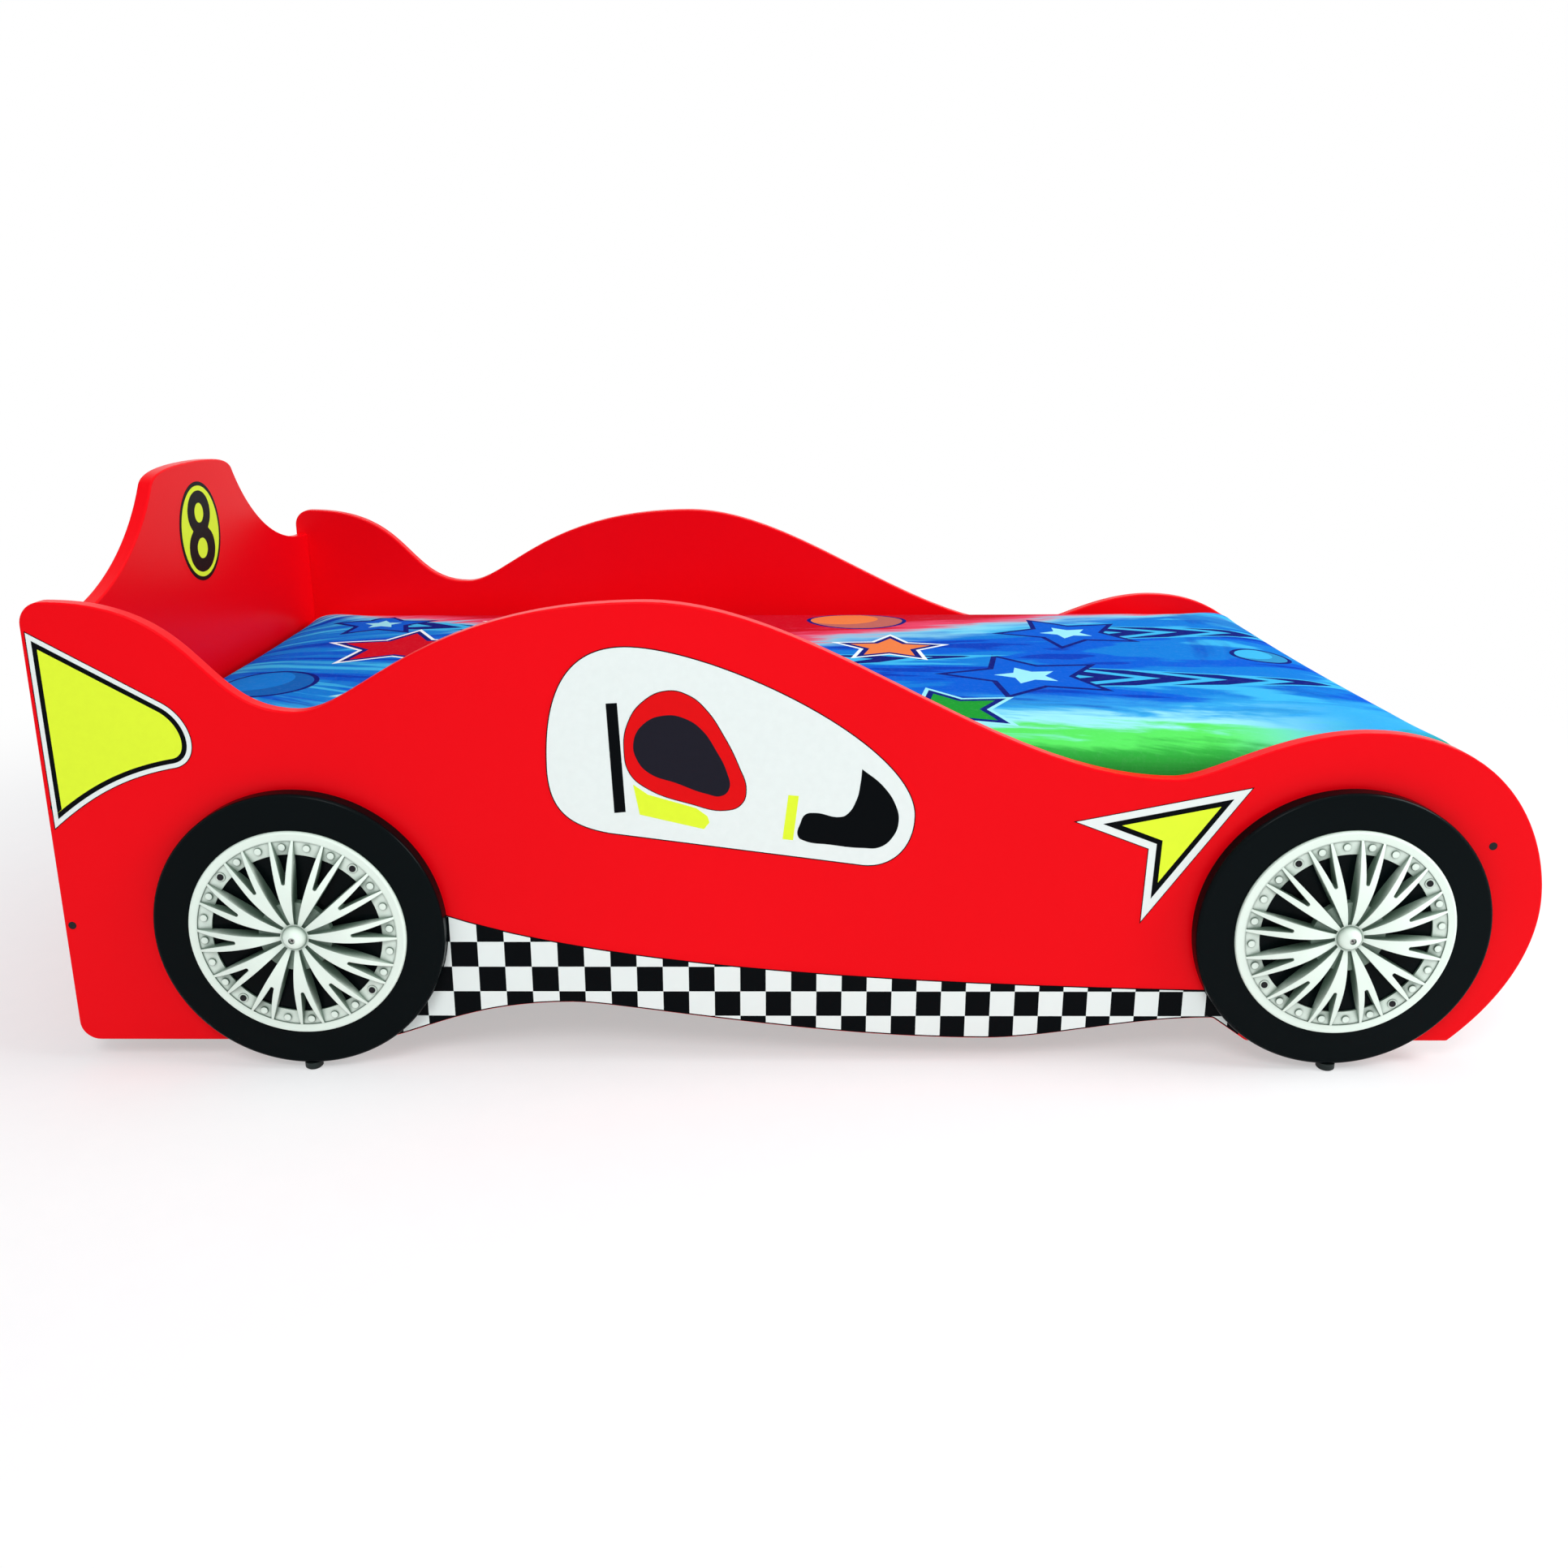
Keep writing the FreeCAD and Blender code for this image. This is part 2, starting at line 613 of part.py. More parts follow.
def tyre_disc(end, side_name):
    """Black disc, flat on the side panel, with a rounded outer edge."""
    position, rotation = wheel_placement(end, side_name, half_outer)
    body = new_body("tyre_%s_%s" % (end, side_name), position, rotation)
    bend = size("tyre_edge_radius")
    inset = bend * (1 - math.sqrt(0.5))
    rim = tyre_radius
    revolved(body, [
        line((0, 0), (rim, 0)),
        line((rim, 0), (rim, board - bend)),
        arc((rim, board - bend), (rim - inset, board - inset), (rim - bend, board)),
        line((rim - bend, board), (0, board)),
        line((0, board), (0, 0)),
    ], "tyre_section_%s_%s" % (end, side_name))

    back = new_sketch(body, "XY_Plane", "disc_pilots_%s_%s" % (end, side_name))
    for dx, dz in disc_screw_offsets:
        centre = (mirror_if_left(side_name, dx), dz)
        circle(back, centre, "Sizes.wood_screw_shank + 2 * Sizes.screw_clearance")
    pocket(body, back, "%g + 2 * Sizes.screw_clearance" % disc_screw_reach, True)

    front = new_sketch(body, "XY_Plane", "cover_pilots_%s_%s" % (end, side_name), board)
    for quarter in range(4):
        centre = turned(stud_radius, FIRST_SCREW_ANGLE[end] + 90 * quarter)
        circle(front, centre, "Sizes.cover_screw_shank + 2 * Sizes.screw_clearance")
    circle(front, (0, 0), "Sizes.cover_screw_shank + 2 * Sizes.screw_clearance")
    pocket(body, front, "%g + 2 * Sizes.screw_clearance" % hub_screw_reach)

    pin = new_sketch(body, "XZ_Plane", "glide_pin_%s_%s" % (end, side_name), tyre_radius)
    circle(pin, (0, board / 2), "%g" % glide_pin_diameter)
    pocket(body, pin, "%g" % glide_pin_length)
    return body


def circle_through(first, second, third):
    """Centre and radius of the circle through three points."""
    ax, ay = first
    bx, by = second
    cx, cy = third
    d = 2 * (ax * (by - cy) + bx * (cy - ay) + cx * (ay - by))
    sa, sb, sc = ax * ax + ay * ay, bx * bx + by * by, cx * cx + cy * cy
    ux = (sa * (by - cy) + sb * (cy - ay) + sc * (ay - by)) / d
    uy = (sa * (cx - bx) + sb * (ax - cx) + sc * (bx - ax)) / d
    return (ux, uy), math.hypot(ax - ux, ay - uy)


def at_distance(ring, radius):
    """Point of the ring at the given distance from the hub, on the side nearer to the spoke's tip."""
    (ux, uy), ring_radius = ring
    span = math.hypot(ux, uy)
    along = (radius ** 2 - ring_radius ** 2 + span ** 2) / (2 * span)
    off = math.sqrt(radius ** 2 - along ** 2)
    cos, sin = ux / span, uy / span
    choices = [(cos * along + sin * off, sin * along - cos * off),
               (cos * along - sin * off, sin * along + cos * off)]
    return max(choices, key=lambda p: p[0])


def flip(point, about_degrees):
    """Mirror image of a point in the line through the hub at the given angle."""
    angle = math.radians(2 * about_degrees)
    x, y = point
    return (x * math.cos(angle) + y * math.sin(angle), x * math.sin(angle) - y * math.cos(angle))


class SpokeShape:
    """Half of one forked spoke, pointing along X: the two curved edges of its upper arm."""
    count = 12
    step = 360 / count
    hub = cover_radius * 0.13
    flange = cover_radius * 0.335
    shelf = cover_radius * 0.78
    tip = cover_radius * 0.912
    crotch = cover_radius * 0.53
    crotch_half = 1.9
    outer_edge = circle_through((hub, 2.0), (tip * 0.6, tip * 0.083), (tip, tip * 0.124))
    inner_edge = circle_through(
        (crotch + crotch_half, crotch_half), (tip * 0.78, tip * 0.05), (tip, tip * 0.1),
    )


def ring_piece(edge, near, far, axis):
    """Region between an edge and its mirror image in the given axis, from radius near to far."""
    low_near, low_mid, low_far = (at_distance(edge, r) for r in (near, (near + far) / 2, far))
    high_near, high_mid, high_far = (flip(p, axis) for p in (low_near, low_mid, low_far))
    return [
        arc(low_near, low_mid, low_far),
        arc(low_far, turned(far, axis), high_far),
        arc(high_far, high_mid, high_near),
        arc(high_near, turned(near, axis), low_near),
    ]


def fork_piece(far):
    """Opening inside the fork of a spoke, from its rounded crotch out to the given radius."""
    shape = SpokeShape
    start = (shape.crotch + shape.crotch_half, shape.crotch_half)
    middle = at_distance(shape.inner_edge, (shape.crotch + far) / 2)
    end = at_distance(shape.inner_edge, far)
    return [
        arc(start, middle, end),
        arc(end, (far, 0), flip(end, 0)),
        arc(flip(end, 0), flip(middle, 0), flip(start, 0)),
        arc(flip(start, 0), (shape.crotch, 0), start),
    ]


def wheel_cover_form(body):
    """A moulded cover: a crowned dish with a domed hub, opened between and inside twelve forked
    spokes, with a ring of studs and four screw collars on the shelf behind the spokes' tips."""
    shape = SpokeShape
    rim = cover_radius
    lip = size("cover_lip_height")
    neck = size("cover_neck_height")
    crown = size("cover_crown_height")
    hub_top = size("cover_hub_height")
    shelf = size("cover_shelf_height")
    dome = shape.hub * 0.86
    tip_height = lip + 0.2
    beside_tips = (shape.tip + 0.6, tip_height - size("cover_rim_drop"))
    brow = (rim * 0.547, crown * 0.948)
    slope = (rim * 0.734, tip_height + (brow[1] - tip_height) * 0.58)
    revolved(body, [
        line((0, 0), (rim, 0)),
        line((rim, 0), (rim, lip * 0.4)),
        line((rim, lip * 0.4), (rim - lip * 0.25, lip * 0.85)),
        line((rim - lip * 0.25, lip * 0.85), (rim - lip * 0.8, lip)),
        line((rim - lip * 0.8, lip), beside_tips),
        line(beside_tips, (shape.tip, tip_height)),
        arc((shape.tip, tip_height), slope, brow),
        arc(brow, (rim * 0.349, crown), (dome, neck)),
        arc((dome, neck), (dome * 0.74, neck + (hub_top - neck) * 0.62), (0, hub_top)),
        line((0, hub_top), (0, 0)),
    ], "cover_section")

    between = shape.step / 2
    hub_room = new_sketch(body, "XY_Plane", "hub_room", size("cover_flange_height"))
    outline(hub_room, ring_piece(shape.outer_edge, shape.hub, shape.flange, between))
    window = new_sketch(body, "XY_Plane", "window")
    outline(window, ring_piece(shape.outer_edge, shape.flange, shape.shelf, between))
    recess = new_sketch(body, "XY_Plane", "recess", shelf)
    outline(recess, ring_piece(shape.outer_edge, shape.shelf, shape.tip, between))
    fork = new_sketch(body, "XY_Plane", "fork")
    outline(fork, fork_piece(shape.shelf))
    fork_recess = new_sketch(body, "XY_Plane", "fork_recess", shelf)
    outline(fork_recess, ring_piece(shape.inner_edge, shape.shelf, shape.tip, 0))
    openings = [pocket(body, sketch, None, True) for sketch in (hub_room, window, recess, fork, fork_recess)]
    polar(body, openings, shape.count)

    studs = new_sketch(body, "XY_Plane", "studs", shelf)
    for place in (0, 2, 3, 4, 5):
        circle(studs, turned(stud_radius, place * STUD_STEP), "Sizes.stud_diameter")
    stud_pad = pad(body, studs, "Sizes.stud_height")
    collar = new_sketch(body, "XY_Plane", "collar", shelf)
    circle(collar, turned(stud_radius, LOCAL_SCREW_ANGLE), "Sizes.collar_diameter")
    collar_pad = pad(body, collar, "Sizes.collar_height")
    polar(body, [stud_pad, collar_pad], 4)

    screw_seat = new_sketch(body, "XY_Plane", "screw_seat", shelf)
    circle(screw_seat, turned(stud_radius, LOCAL_SCREW_ANGLE), "Sizes.cover_screw_head + 2 * Sizes.screw_clearance")
    seat_cut = pocket(body, screw_seat, None, True)
    screw_hole = new_sketch(body, "XY_Plane", "screw_hole")
    circle(screw_hole, turned(stud_radius, LOCAL_SCREW_ANGLE), "Sizes.cover_screw_shank + 2 * Sizes.screw_clearance")
    hole_cut = pocket(body, screw_hole, None, True)
    polar(body, [seat_cut, hole_cut], 4)

    hub_seat = new_sketch(body, "XY_Plane", "hub_seat", hub_seat_height)
    circle(hub_seat, (0, 0), "Sizes.cover_screw_head + 2 * Sizes.screw_clearance")
    pocket(body, hub_seat, None, True)
    hub_hole = new_sketch(body, "XY_Plane", "hub_hole")
    circle(hub_hole, (0, 0), "Sizes.cover_screw_shank + 2 * Sizes.screw_clearance")
    pocket(body, hub_hole, None, True)


def wheel_cover(end, side_name, form):
    """A wheel cover on its disc, turned as it is fitted. All four are the same moulding."""
    position, rotation = wheel_placement(end, side_name, half_outer + board)
    spin = FreeCAD.Rotation(V(0, 0, 1), FIRST_SCREW_ANGLE[end] - LOCAL_SCREW_ANGLE)
    return shape_node(
        "wheel_cover_%s_%s" % (end, side_name), form.Shape.copy(),
        FreeCAD.Placement(position, rotation.multiply(spin)),
    )


def glide(end, side_name):
    """Plastic glide nailed into the lower edge of a wheel disc; the bed stands on the four."""
    name = "glide_%s_%s" % (end, side_name)
    y = SIDES[side_name] * (half_outer + board / 2)
    body = new_body(name, V(wheel_x[end], y, 0))
    height = wheel_z - tyre_radius
    radius = size("glide_diameter") / 2
    bevel = 1.5
    pin = glide_pin_diameter / 2
    pin_top = height + glide_pin_length - 1
    revolved(body, [
        line((0, 0), (radius - bevel, 0)),
        line((radius - bevel, 0), (radius, bevel)),
        line((radius, bevel), (radius, height)),
        line((radius, height), (pin, height)),
        line((pin, height), (pin, pin_top)),
        line((pin, pin_top), (0, pin_top)),
        line((0, pin_top), (0, 0)),
    ], name + "_section")
    return body


# ---------------------------------------------------------------- mattress
def mattress_section(height, inset):
    """A rectangle with rounded corners whose sides draw in a little between them."""
    half_long = size("mattress_length") / 2 - inset
    half_wide = size("mattress_width") / 2 - inset
    corner = size("mattress_corner")
    diagonal = corner * (1 - math.sqrt(0.5))
    end_middle = (half_long - size("mattress_end_draw"), 0)
    side_middle = (0, half_wide - size("mattress_side_draw"))
    quarter = [
        arc((half_long, -half_wide + corner), end_middle, (half_long, half_wide - corner)),
        arc((half_long, half_wide - corner), (half_long - diagonal, half_wide - diagonal),
            (half_long - corner, half_wide)),
        arc((half_long - corner, half_wide), side_middle, (-half_long + corner, half_wide)),
        arc((-half_long + corner, half_wide), (-half_long + diagonal, half_wide - diagonal),
            (-half_long, half_wide - corner)),
    ]
    half = Part.Wire([piece.toShape() for piece in quarter])
    other = half.copy()
    other.rotate(V(0, 0, 0), V(0, 0, 1), 180)
    wire = Part.Wire(half.Edges + other.Edges)
    wire.translate(V(0, 0, height))
    return wire


def mattress():
    """A foam mattress in a stretched cover: rolled edges, drawn-in sides and a crowned top."""
    thick = size("mattress_thickness")
    crown = size("mattress_crown")
    top_roll = size("mattress_top_roll")
    block = Part.Face(mattress_section(0, 0)).extrude(V(0, 0, thick))
    block = block.makeFillet(top_roll, [e for e in block.Edges if e.BoundBox.ZMin > thick - 1])
    block = block.makeFillet(size("mattress_bottom_roll"), [e for e in block.Edges if e.BoundBox.ZMax < 1])
    rises = ((top_roll, -0.2), (80.0, 0.5), (140.0, 0.83), (230.0, 1.0))
    bulge = Part.makeLoft(
        [mattress_section(thick + crown * share, inset) for inset, share in rises], True, True,
    )
    solid = block.fuse(bulge).Solids[0]
    lift = size("base_height") + size("soft_clearance")
    middle_x = headboard_x + inner_length / 2
    return shape_node("mattress", solid, FreeCAD.Placement(V(middle_x, 0, lift), FreeCAD.Rotation()))


# ---------------------------------------------------------------- printed film
def side_film(name, solid, side_name):
    """A sticker drawn in X and Z, laid on the outer face of a side panel."""
    if side_name == "left":
        solid = solid.mirror(V(0, 0, 0), V(0, 0, 1))
    y = SIDES[side_name] * half_outer
    return shape_node(
        name + "_" + side_name, solid,
        FreeCAD.Placement(V(0, y, 0), FreeCAD.Rotation(V(1, 0, 0), 90)),
    )


def cut_film(pieces):
    """The solid of a sticker with the given outline."""
    wire = Part.Wire(Part.__sortEdges__([piece.toShape() for piece in pieces]))
    return Part.Face(wire).extrude(V(0, 0, size("film_thickness")))


def window_outline():
    """The cockpit window: a long egg, high at the rear and low at the front."""
    rear = rear_x + 497.8
    front = rear_x + 857.9
    top = (rear_x + 577.1, 442.3)
    low = (rear_x + 808.2, 220.0)
    return [
        curve((rear, 323.0), (rear, 395.0), (top[0] - 58, top[1]), top),
        curve(top, (top[0] + 85, top[1]), (front, 345.0), (front, 271.4)),
        curve((front, 271.4), (front, 240.0), (low[0] + 30, low[1] - 3), low),
        line(low, (rear_x + 557.1, 254.1)),
        curve((rear_x + 557.1, 254.1), (rear_x + 515, 262.0), (rear, 280.0), (rear, 323.0)),
    ]


def tail_outline():
    """The tail light: a rounded wedge that points forwards from the rear edge."""
    rear = rear_x + 5.0
    return [
        line((rear, 457.6), (rear_x + 127.0, 387.6)),
        curve((rear_x + 127.0, 387.6), (rear_x + 157.0, 370.0), (rear_x + 162.0, 325.0), (rear_x + 129.3, 321.6)),
        curve((rear_x + 129.3, 321.6), (rear_x + 80.0, 312.0), (rear_x + 45.0, 292.0), (rear_x + 6.0, 259.0)),
        line((rear_x + 6.0, 259.0), (rear, 457.6)),
    ]


def arrow_outline():
    """The arrow head over the front wheel."""
    points = [
        (nose_x - 468.7, 265.4), (nose_x - 299.3, 299.9),
        (nose_x - 398.1, 159.2), (nose_x - 395.7, 237.2),
    ]
    return [line(points[i], points[(i + 1) % 4]) for i in range(4)]


def checker_film(side_name):
    """The chequered band: from its upper curve down to the panel's lower edge, between the discs."""
    edge_room = 2.5
    disc_room = 0.5
    thick = size("film_thickness")
    rear = rear_x + 325.0
    front = nose_x - 290.0
    start = (rear, 192.5)
    end = (front, 81.2)
    below = 0.0
    band = Part.Wire([piece.toShape() for piece in [
        curve(start, (rear + 125.0, 122.5), (rear + 402.0, 90.0), end),
        line(end, (front, below)),
        line((front, below), (rear, below)),
        line((rear, below), start),
    ]])
    panel = Part.Wire(Part.__sortEdges__([piece.toShape() for piece in panel_outline()]))
    panel.translate(V(0, edge_room, 0))
    solid = Part.Face(band).extrude(V(0, 0, thick)).common(Part.Face(panel).extrude(V(0, 0, thick)))
    for x in wheel_x.values():
        solid = solid.cut(Part.makeCylinder(tyre_radius + disc_room, thick, V(x, wheel_z, 0)))
    solid = max(solid.Solids, key=lambda piece: piece.Volume)
    return side_film("checker_film", solid, side_name)


def number_film():
    """The oval of the racing number, on the front face of the headboard."""
    half_wide, half_high, middle = 56.0, 60.5, 504.0
    oval = Part.Ellipse(V(0, middle + half_high, 0), V(half_wide, middle, 0), V(0, middle, 0))
    rotation = FreeCAD.Rotation(V(0, 0, 1), 90).multiply(FreeCAD.Rotation(V(1, 0, 0), 90))
    return shape_node("number_film", cut_film([oval]), FreeCAD.Placement(V(headboard_x, 0, 0), rotation))


# ---------------------------------------------------------------- assembly
nodes = []
for side_name in SIDES:
    nodes.append(side_panel(side_name))
nodes.append(headboard())
nodes.append(footboard())
for side_name in SIDES:
    nodes.append(cleat(side_name))
for number in range(1, slat_count + 1):
    nodes.append(slat(number))
nodes.append(mattress())

cover_form = new_body("cover_form")
wheel_cover_form(cover_form)
for end, side_name in WHEELS:
    nodes.append(tyre_disc(end, side_name))
    nodes.append(wheel_cover(end, side_name, cover_form))
    nodes.append(glide(end, side_name))

panel_screws = []
disc_screws = []
cleat_screws = []
slat_screws = []
cover_screws = []
hub_screws = []
wood = (size("wood_screw_shank"), size("wood_screw_head"), size("wood_screw_head_height"))
thin = (size("cover_screw_shank"), size("cover_screw_head"), size("cover_screw_head_height"))
disc_screw = screw(*wood, wood[2] + board + disc_screw_reach)
cleat_screw = screw(*wood, size("cleat_width") + cleat_screw_reach)
slat_screw = screw(*wood, size("slat_thickness") + slat_screw_reach)
cover_screw = screw(*thin, thin[2] + size("cover_shelf_height") + cover_screw_reach)
hub_screw = screw(*thin, thin[2] + hub_seat_height + hub_screw_reach)
for side_name, side in SIDES.items():
    outward = V(0, side, 0)
    for x, z in panel_screw_points:
        panel_screws.append((panel_screw, V(x, side * half_outer, z), outward))
    for x, z in disc_screw_points:
        disc_screws.append((disc_screw, V(x, side * (half_inner - wood[2]), z), -outward))
    for x in cleat_screw_x:
        face = V(x, side * (half_inner - size("cleat_width")), cleat_screw_z)
        cleat_screws.append((cleat_screw, face, -outward))
    for i in range(slat_count):
        x = slat_first_x + slat_pitch * i + size("slat_width") / 2
        slat_screws.append((slat_screw, V(x, side * slat_screw_y, size("base_height")), V(0, 0, 1)))
for end, side_name in WHEELS:
    outward = V(0, SIDES[side_name], 0)
    position, rotation = wheel_placement(end, side_name, half_outer + board)
    for quarter in range(4):
        x, y = turned(stud_radius, FIRST_SCREW_ANGLE[end] + 90 * quarter)
        seat = position + rotation.multVec(V(x, y, size("cover_shelf_height") + thin[2]))
        cover_screws.append((cover_screw, seat, outward))
    seat = position + rotation.multVec(V(0, 0, hub_seat_height + thin[2]))
    hub_screws.append((hub_screw, seat, outward))
nodes.append(screw_group("panel_screws", panel_screws))
nodes.append(screw_group("disc_screws", disc_screws))
nodes.append(screw_group("cleat_screws", cleat_screws))
nodes.append(screw_group("slat_screws", slat_screws))
nodes.append(screw_group("cover_screws", cover_screws))
nodes.append(screw_group("hub_screws", hub_screws))

for side_name in SIDES:
    nodes.append(side_film("window_film", cut_film(window_outline()), side_name))
    nodes.append(side_film("tail_light_film", cut_film(tail_outline()), side_name))
    nodes.append(side_film("arrow_film", cut_film(arrow_outline()), side_name))
    nodes.append(checker_film(side_name))
nodes.append(number_film())

doc.recompute()

# ---------------------------------------------------------------- checks, then the files
for item in doc.Objects:
    if "Invalid" in item.State or "Error" in item.State:
        raise RuntimeError("%s did not build: %s" % (item.Name, item.State))
for node in nodes:
    shape = node.Shape
    if shape.isNull() or not shape.isValid() or shape.Volume <= 0:
        raise RuntimeError("%s has no valid solid" % node.Label)
for node in nodes:
    node.Shape.exportStep("parts/%s.step" % node.Label)
print("%d parts written" % len(nodes))
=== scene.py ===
"""A child's car bed: finishes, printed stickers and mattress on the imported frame, then camera and light."""

import json
import math

import bmesh
import bpy
from mathutils import Matrix, Vector


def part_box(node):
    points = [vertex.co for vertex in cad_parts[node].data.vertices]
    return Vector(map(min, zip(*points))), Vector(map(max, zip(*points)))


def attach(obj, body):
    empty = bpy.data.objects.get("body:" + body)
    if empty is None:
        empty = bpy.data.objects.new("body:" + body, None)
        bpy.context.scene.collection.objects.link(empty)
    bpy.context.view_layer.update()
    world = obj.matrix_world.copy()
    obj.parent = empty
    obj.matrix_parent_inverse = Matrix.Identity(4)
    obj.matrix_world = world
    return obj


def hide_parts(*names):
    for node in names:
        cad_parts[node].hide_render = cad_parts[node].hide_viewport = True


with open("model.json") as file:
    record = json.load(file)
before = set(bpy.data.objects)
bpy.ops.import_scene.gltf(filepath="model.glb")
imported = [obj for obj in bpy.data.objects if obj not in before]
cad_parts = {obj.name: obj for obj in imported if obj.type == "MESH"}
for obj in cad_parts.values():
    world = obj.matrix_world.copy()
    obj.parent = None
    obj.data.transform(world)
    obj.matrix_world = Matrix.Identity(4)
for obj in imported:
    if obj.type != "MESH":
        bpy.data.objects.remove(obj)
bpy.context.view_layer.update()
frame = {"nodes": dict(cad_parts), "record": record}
nodes = frame["nodes"]
MM = 0.001


def srgb(red, green, blue):
    def linear(value):
        value /= 255
        return value / 12.92 if value <= 0.04045 else ((value + 0.055) / 1.055) ** 2.4
    return (linear(red), linear(green), linear(blue), 1.0)


# ---------------------------------------------------------------- materials
class Shader:
    """A material's node tree, with short calls for the nodes that the finishes need."""

    def __init__(self, name):
        self.material = bpy.data.materials.new(name)
        self.material.use_nodes = True
        self.nodes = self.material.node_tree.nodes
        self.links = self.material.node_tree.links
        self.nodes.clear()
        self.place = self.add("ShaderNodeTexCoord").outputs["Object"]

    def add(self, kind, inputs=None, **settings):
        node = self.nodes.new(kind)
        for name, value in settings.items():
            setattr(node, name, value)
        for key, value in (inputs or {}).items():
            if isinstance(value, bpy.types.NodeSocket):
                self.links.new(value, node.inputs[key])
            else:
                node.inputs[key].default_value = value
        return node

    def math(self, operation, first, second=0.0, third=0.0):
        inputs = {0: first, 1: second, 2: third}
        return self.add("ShaderNodeMath", inputs, operation=operation).outputs[0]

    def axes(self, place=None):
        split = self.add("ShaderNodeSeparateXYZ", {0: place or self.place})
        return split.outputs

    def smooth(self, value, low, high):
        """0 below low, 1 above high and a soft step between them."""
        inputs = {0: value, 1: low, 2: high, 3: 0.0, 4: 1.0}
        return self.add("ShaderNodeMapRange", inputs, interpolation_type="SMOOTHSTEP").outputs[0]

    def mix(self, amount, first, second):
        inputs = {0: amount, 6: first, 7: second}
        return self.add("ShaderNodeMix", inputs, data_type="RGBA").outputs[2]

    def noise(self, scale, detail=3.0, roughness=0.5, stretch=(1, 1, 1), place=None, warp=0.0):
        mapping = self.add("ShaderNodeMapping", {0: place or self.place, 3: stretch})
        inputs = {
            "Vector": mapping.outputs[0], "Scale": scale, "Detail": detail,
            "Roughness": roughness, "Distortion": warp,
        }
        return self.add("ShaderNodeTexNoise", inputs).outputs["Fac"]

    def bump(self, height, distance, strength=1.0, normal=None):
        inputs = {"Height": height, "Distance": distance, "Strength": strength}
        if normal is not None:
            inputs["Normal"] = normal
        return self.add("ShaderNodeBump", inputs).outputs[0]

    def finish(self, colour, roughness, normal=None, **more):
        inputs = {"Base Color": colour, "Roughness": roughness}
        if normal is not None:
            inputs["Normal"] = normal
        inputs.update({name.replace("_", " "): value for name, value in more.items()})
        surface = self.add("ShaderNodeBsdfPrincipled", inputs)
        output = self.add("ShaderNodeOutputMaterial")
        self.links.new(surface.outputs[0], output.inputs[0])
        return self.material


def painted_board(name, colour, worn, roughness, specular):
    """Sprayed board: a faint orange peel, a slow drift in colour and small scuffs."""
    s = Shader(name)
    drift = s.smooth(s.noise(2.2, 2.0), 0.35, 0.75)
    scuffs = s.smooth(s.noise(38.0, 6.0, 0.7, (1, 1, 0.35)), 0.66, 0.80)
    tone = s.mix(s.math("MULTIPLY", drift, 0.5), colour, worn)
    gloss = s.math("MULTIPLY_ADD", scuffs, 0.12, roughness)
    peel = s.bump(s.noise(260.0, 2.0), 0.00015, 0.35)
    return s.finish(tone, gloss, peel, Specular_IOR_Level=specular)


def moulded_plastic(name, colour, painted_shade_colour, roughness, specular):
    """Moulded plastic: soft edges, a fine sprayed grain, and painted shade that darkens the colour down in
    the recesses.
    """
    s = Shader(name)
    # Painted shade: ambient occlusion mixes the colour towards the darker shade colour in recesses and along
    # spoke sides.
    depth = s.add("ShaderNodeAmbientOcclusion", {"Distance": 0.02}, samples=8).outputs["AO"]
    tone = s.mix(s.smooth(depth, 0.35, 0.98), painted_shade_colour, colour)
    grain = s.noise(900.0, 3.0, 0.6)
    gloss = s.math("MULTIPLY_ADD", grain, 0.15, roughness)
    soft_edges = s.add("ShaderNodeBevel", {"Radius": 0.0011}, samples=6).outputs[0]
    return s.finish(tone, gloss, s.bump(grain, 0.00016, 0.5, soft_edges), Specular_IOR_Level=specular)


def printed_film(name, colour, roughness=0.34):
    """Printed film: an even ink with a faint mottle under a satin face."""
    s = Shader(name)
    mottle = s.smooth(s.noise(120.0, 4.0, 0.6), 0.2, 0.8)
    darker = tuple(part * 0.97 for part in colour[:3]) + (1.0,)
    face = s.bump(s.noise(420.0, 2.0), 0.00005, 0.3)
    gloss = s.math("MULTIPLY_ADD", mottle, 0.06, roughness)
    return s.finish(s.mix(mottle, darker, colour), gloss, face, Specular_IOR_Level=FILM_SPECULAR)


def checked_film(name, white, black):
    """The chequered band. Its squares keep one height and grow narrower towards the nose."""
    first_edge, first_width, taper = -351.84 * MM, 27.34 * MM, 0.0561 * MM
    top_edge, height = 136.3 * MM, 27.6 * MM
    s = Shader(name)
    x, y, z = s.axes()
    run = s.math("MULTIPLY", s.math("SUBTRACT", x, first_edge), 4 * taper)
    root = s.math("SQRT", s.math("MAXIMUM", s.math("SUBTRACT", first_width ** 2, run), 0.0))
    column = s.math("DIVIDE", s.math("SUBTRACT", first_width, root), 2 * taper)
    row = s.math("DIVIDE", s.math("SUBTRACT", top_edge, z), height)
    count = s.math("ADD", s.math("FLOOR", column), s.math("FLOOR", row))
    odd = s.math("ABSOLUTE", s.math("MODULO", count, 2.0))
    mottle = s.noise(120.0, 4.0, 0.6)
    gloss = s.math("MULTIPLY_ADD", mottle, 0.06, 0.32)
    face = s.bump(s.noise(420.0, 2.0), 0.00005, 0.3)
    return s.finish(s.mix(odd, black, white), gloss, face, Specular_IOR_Level=FILM_SPECULAR)


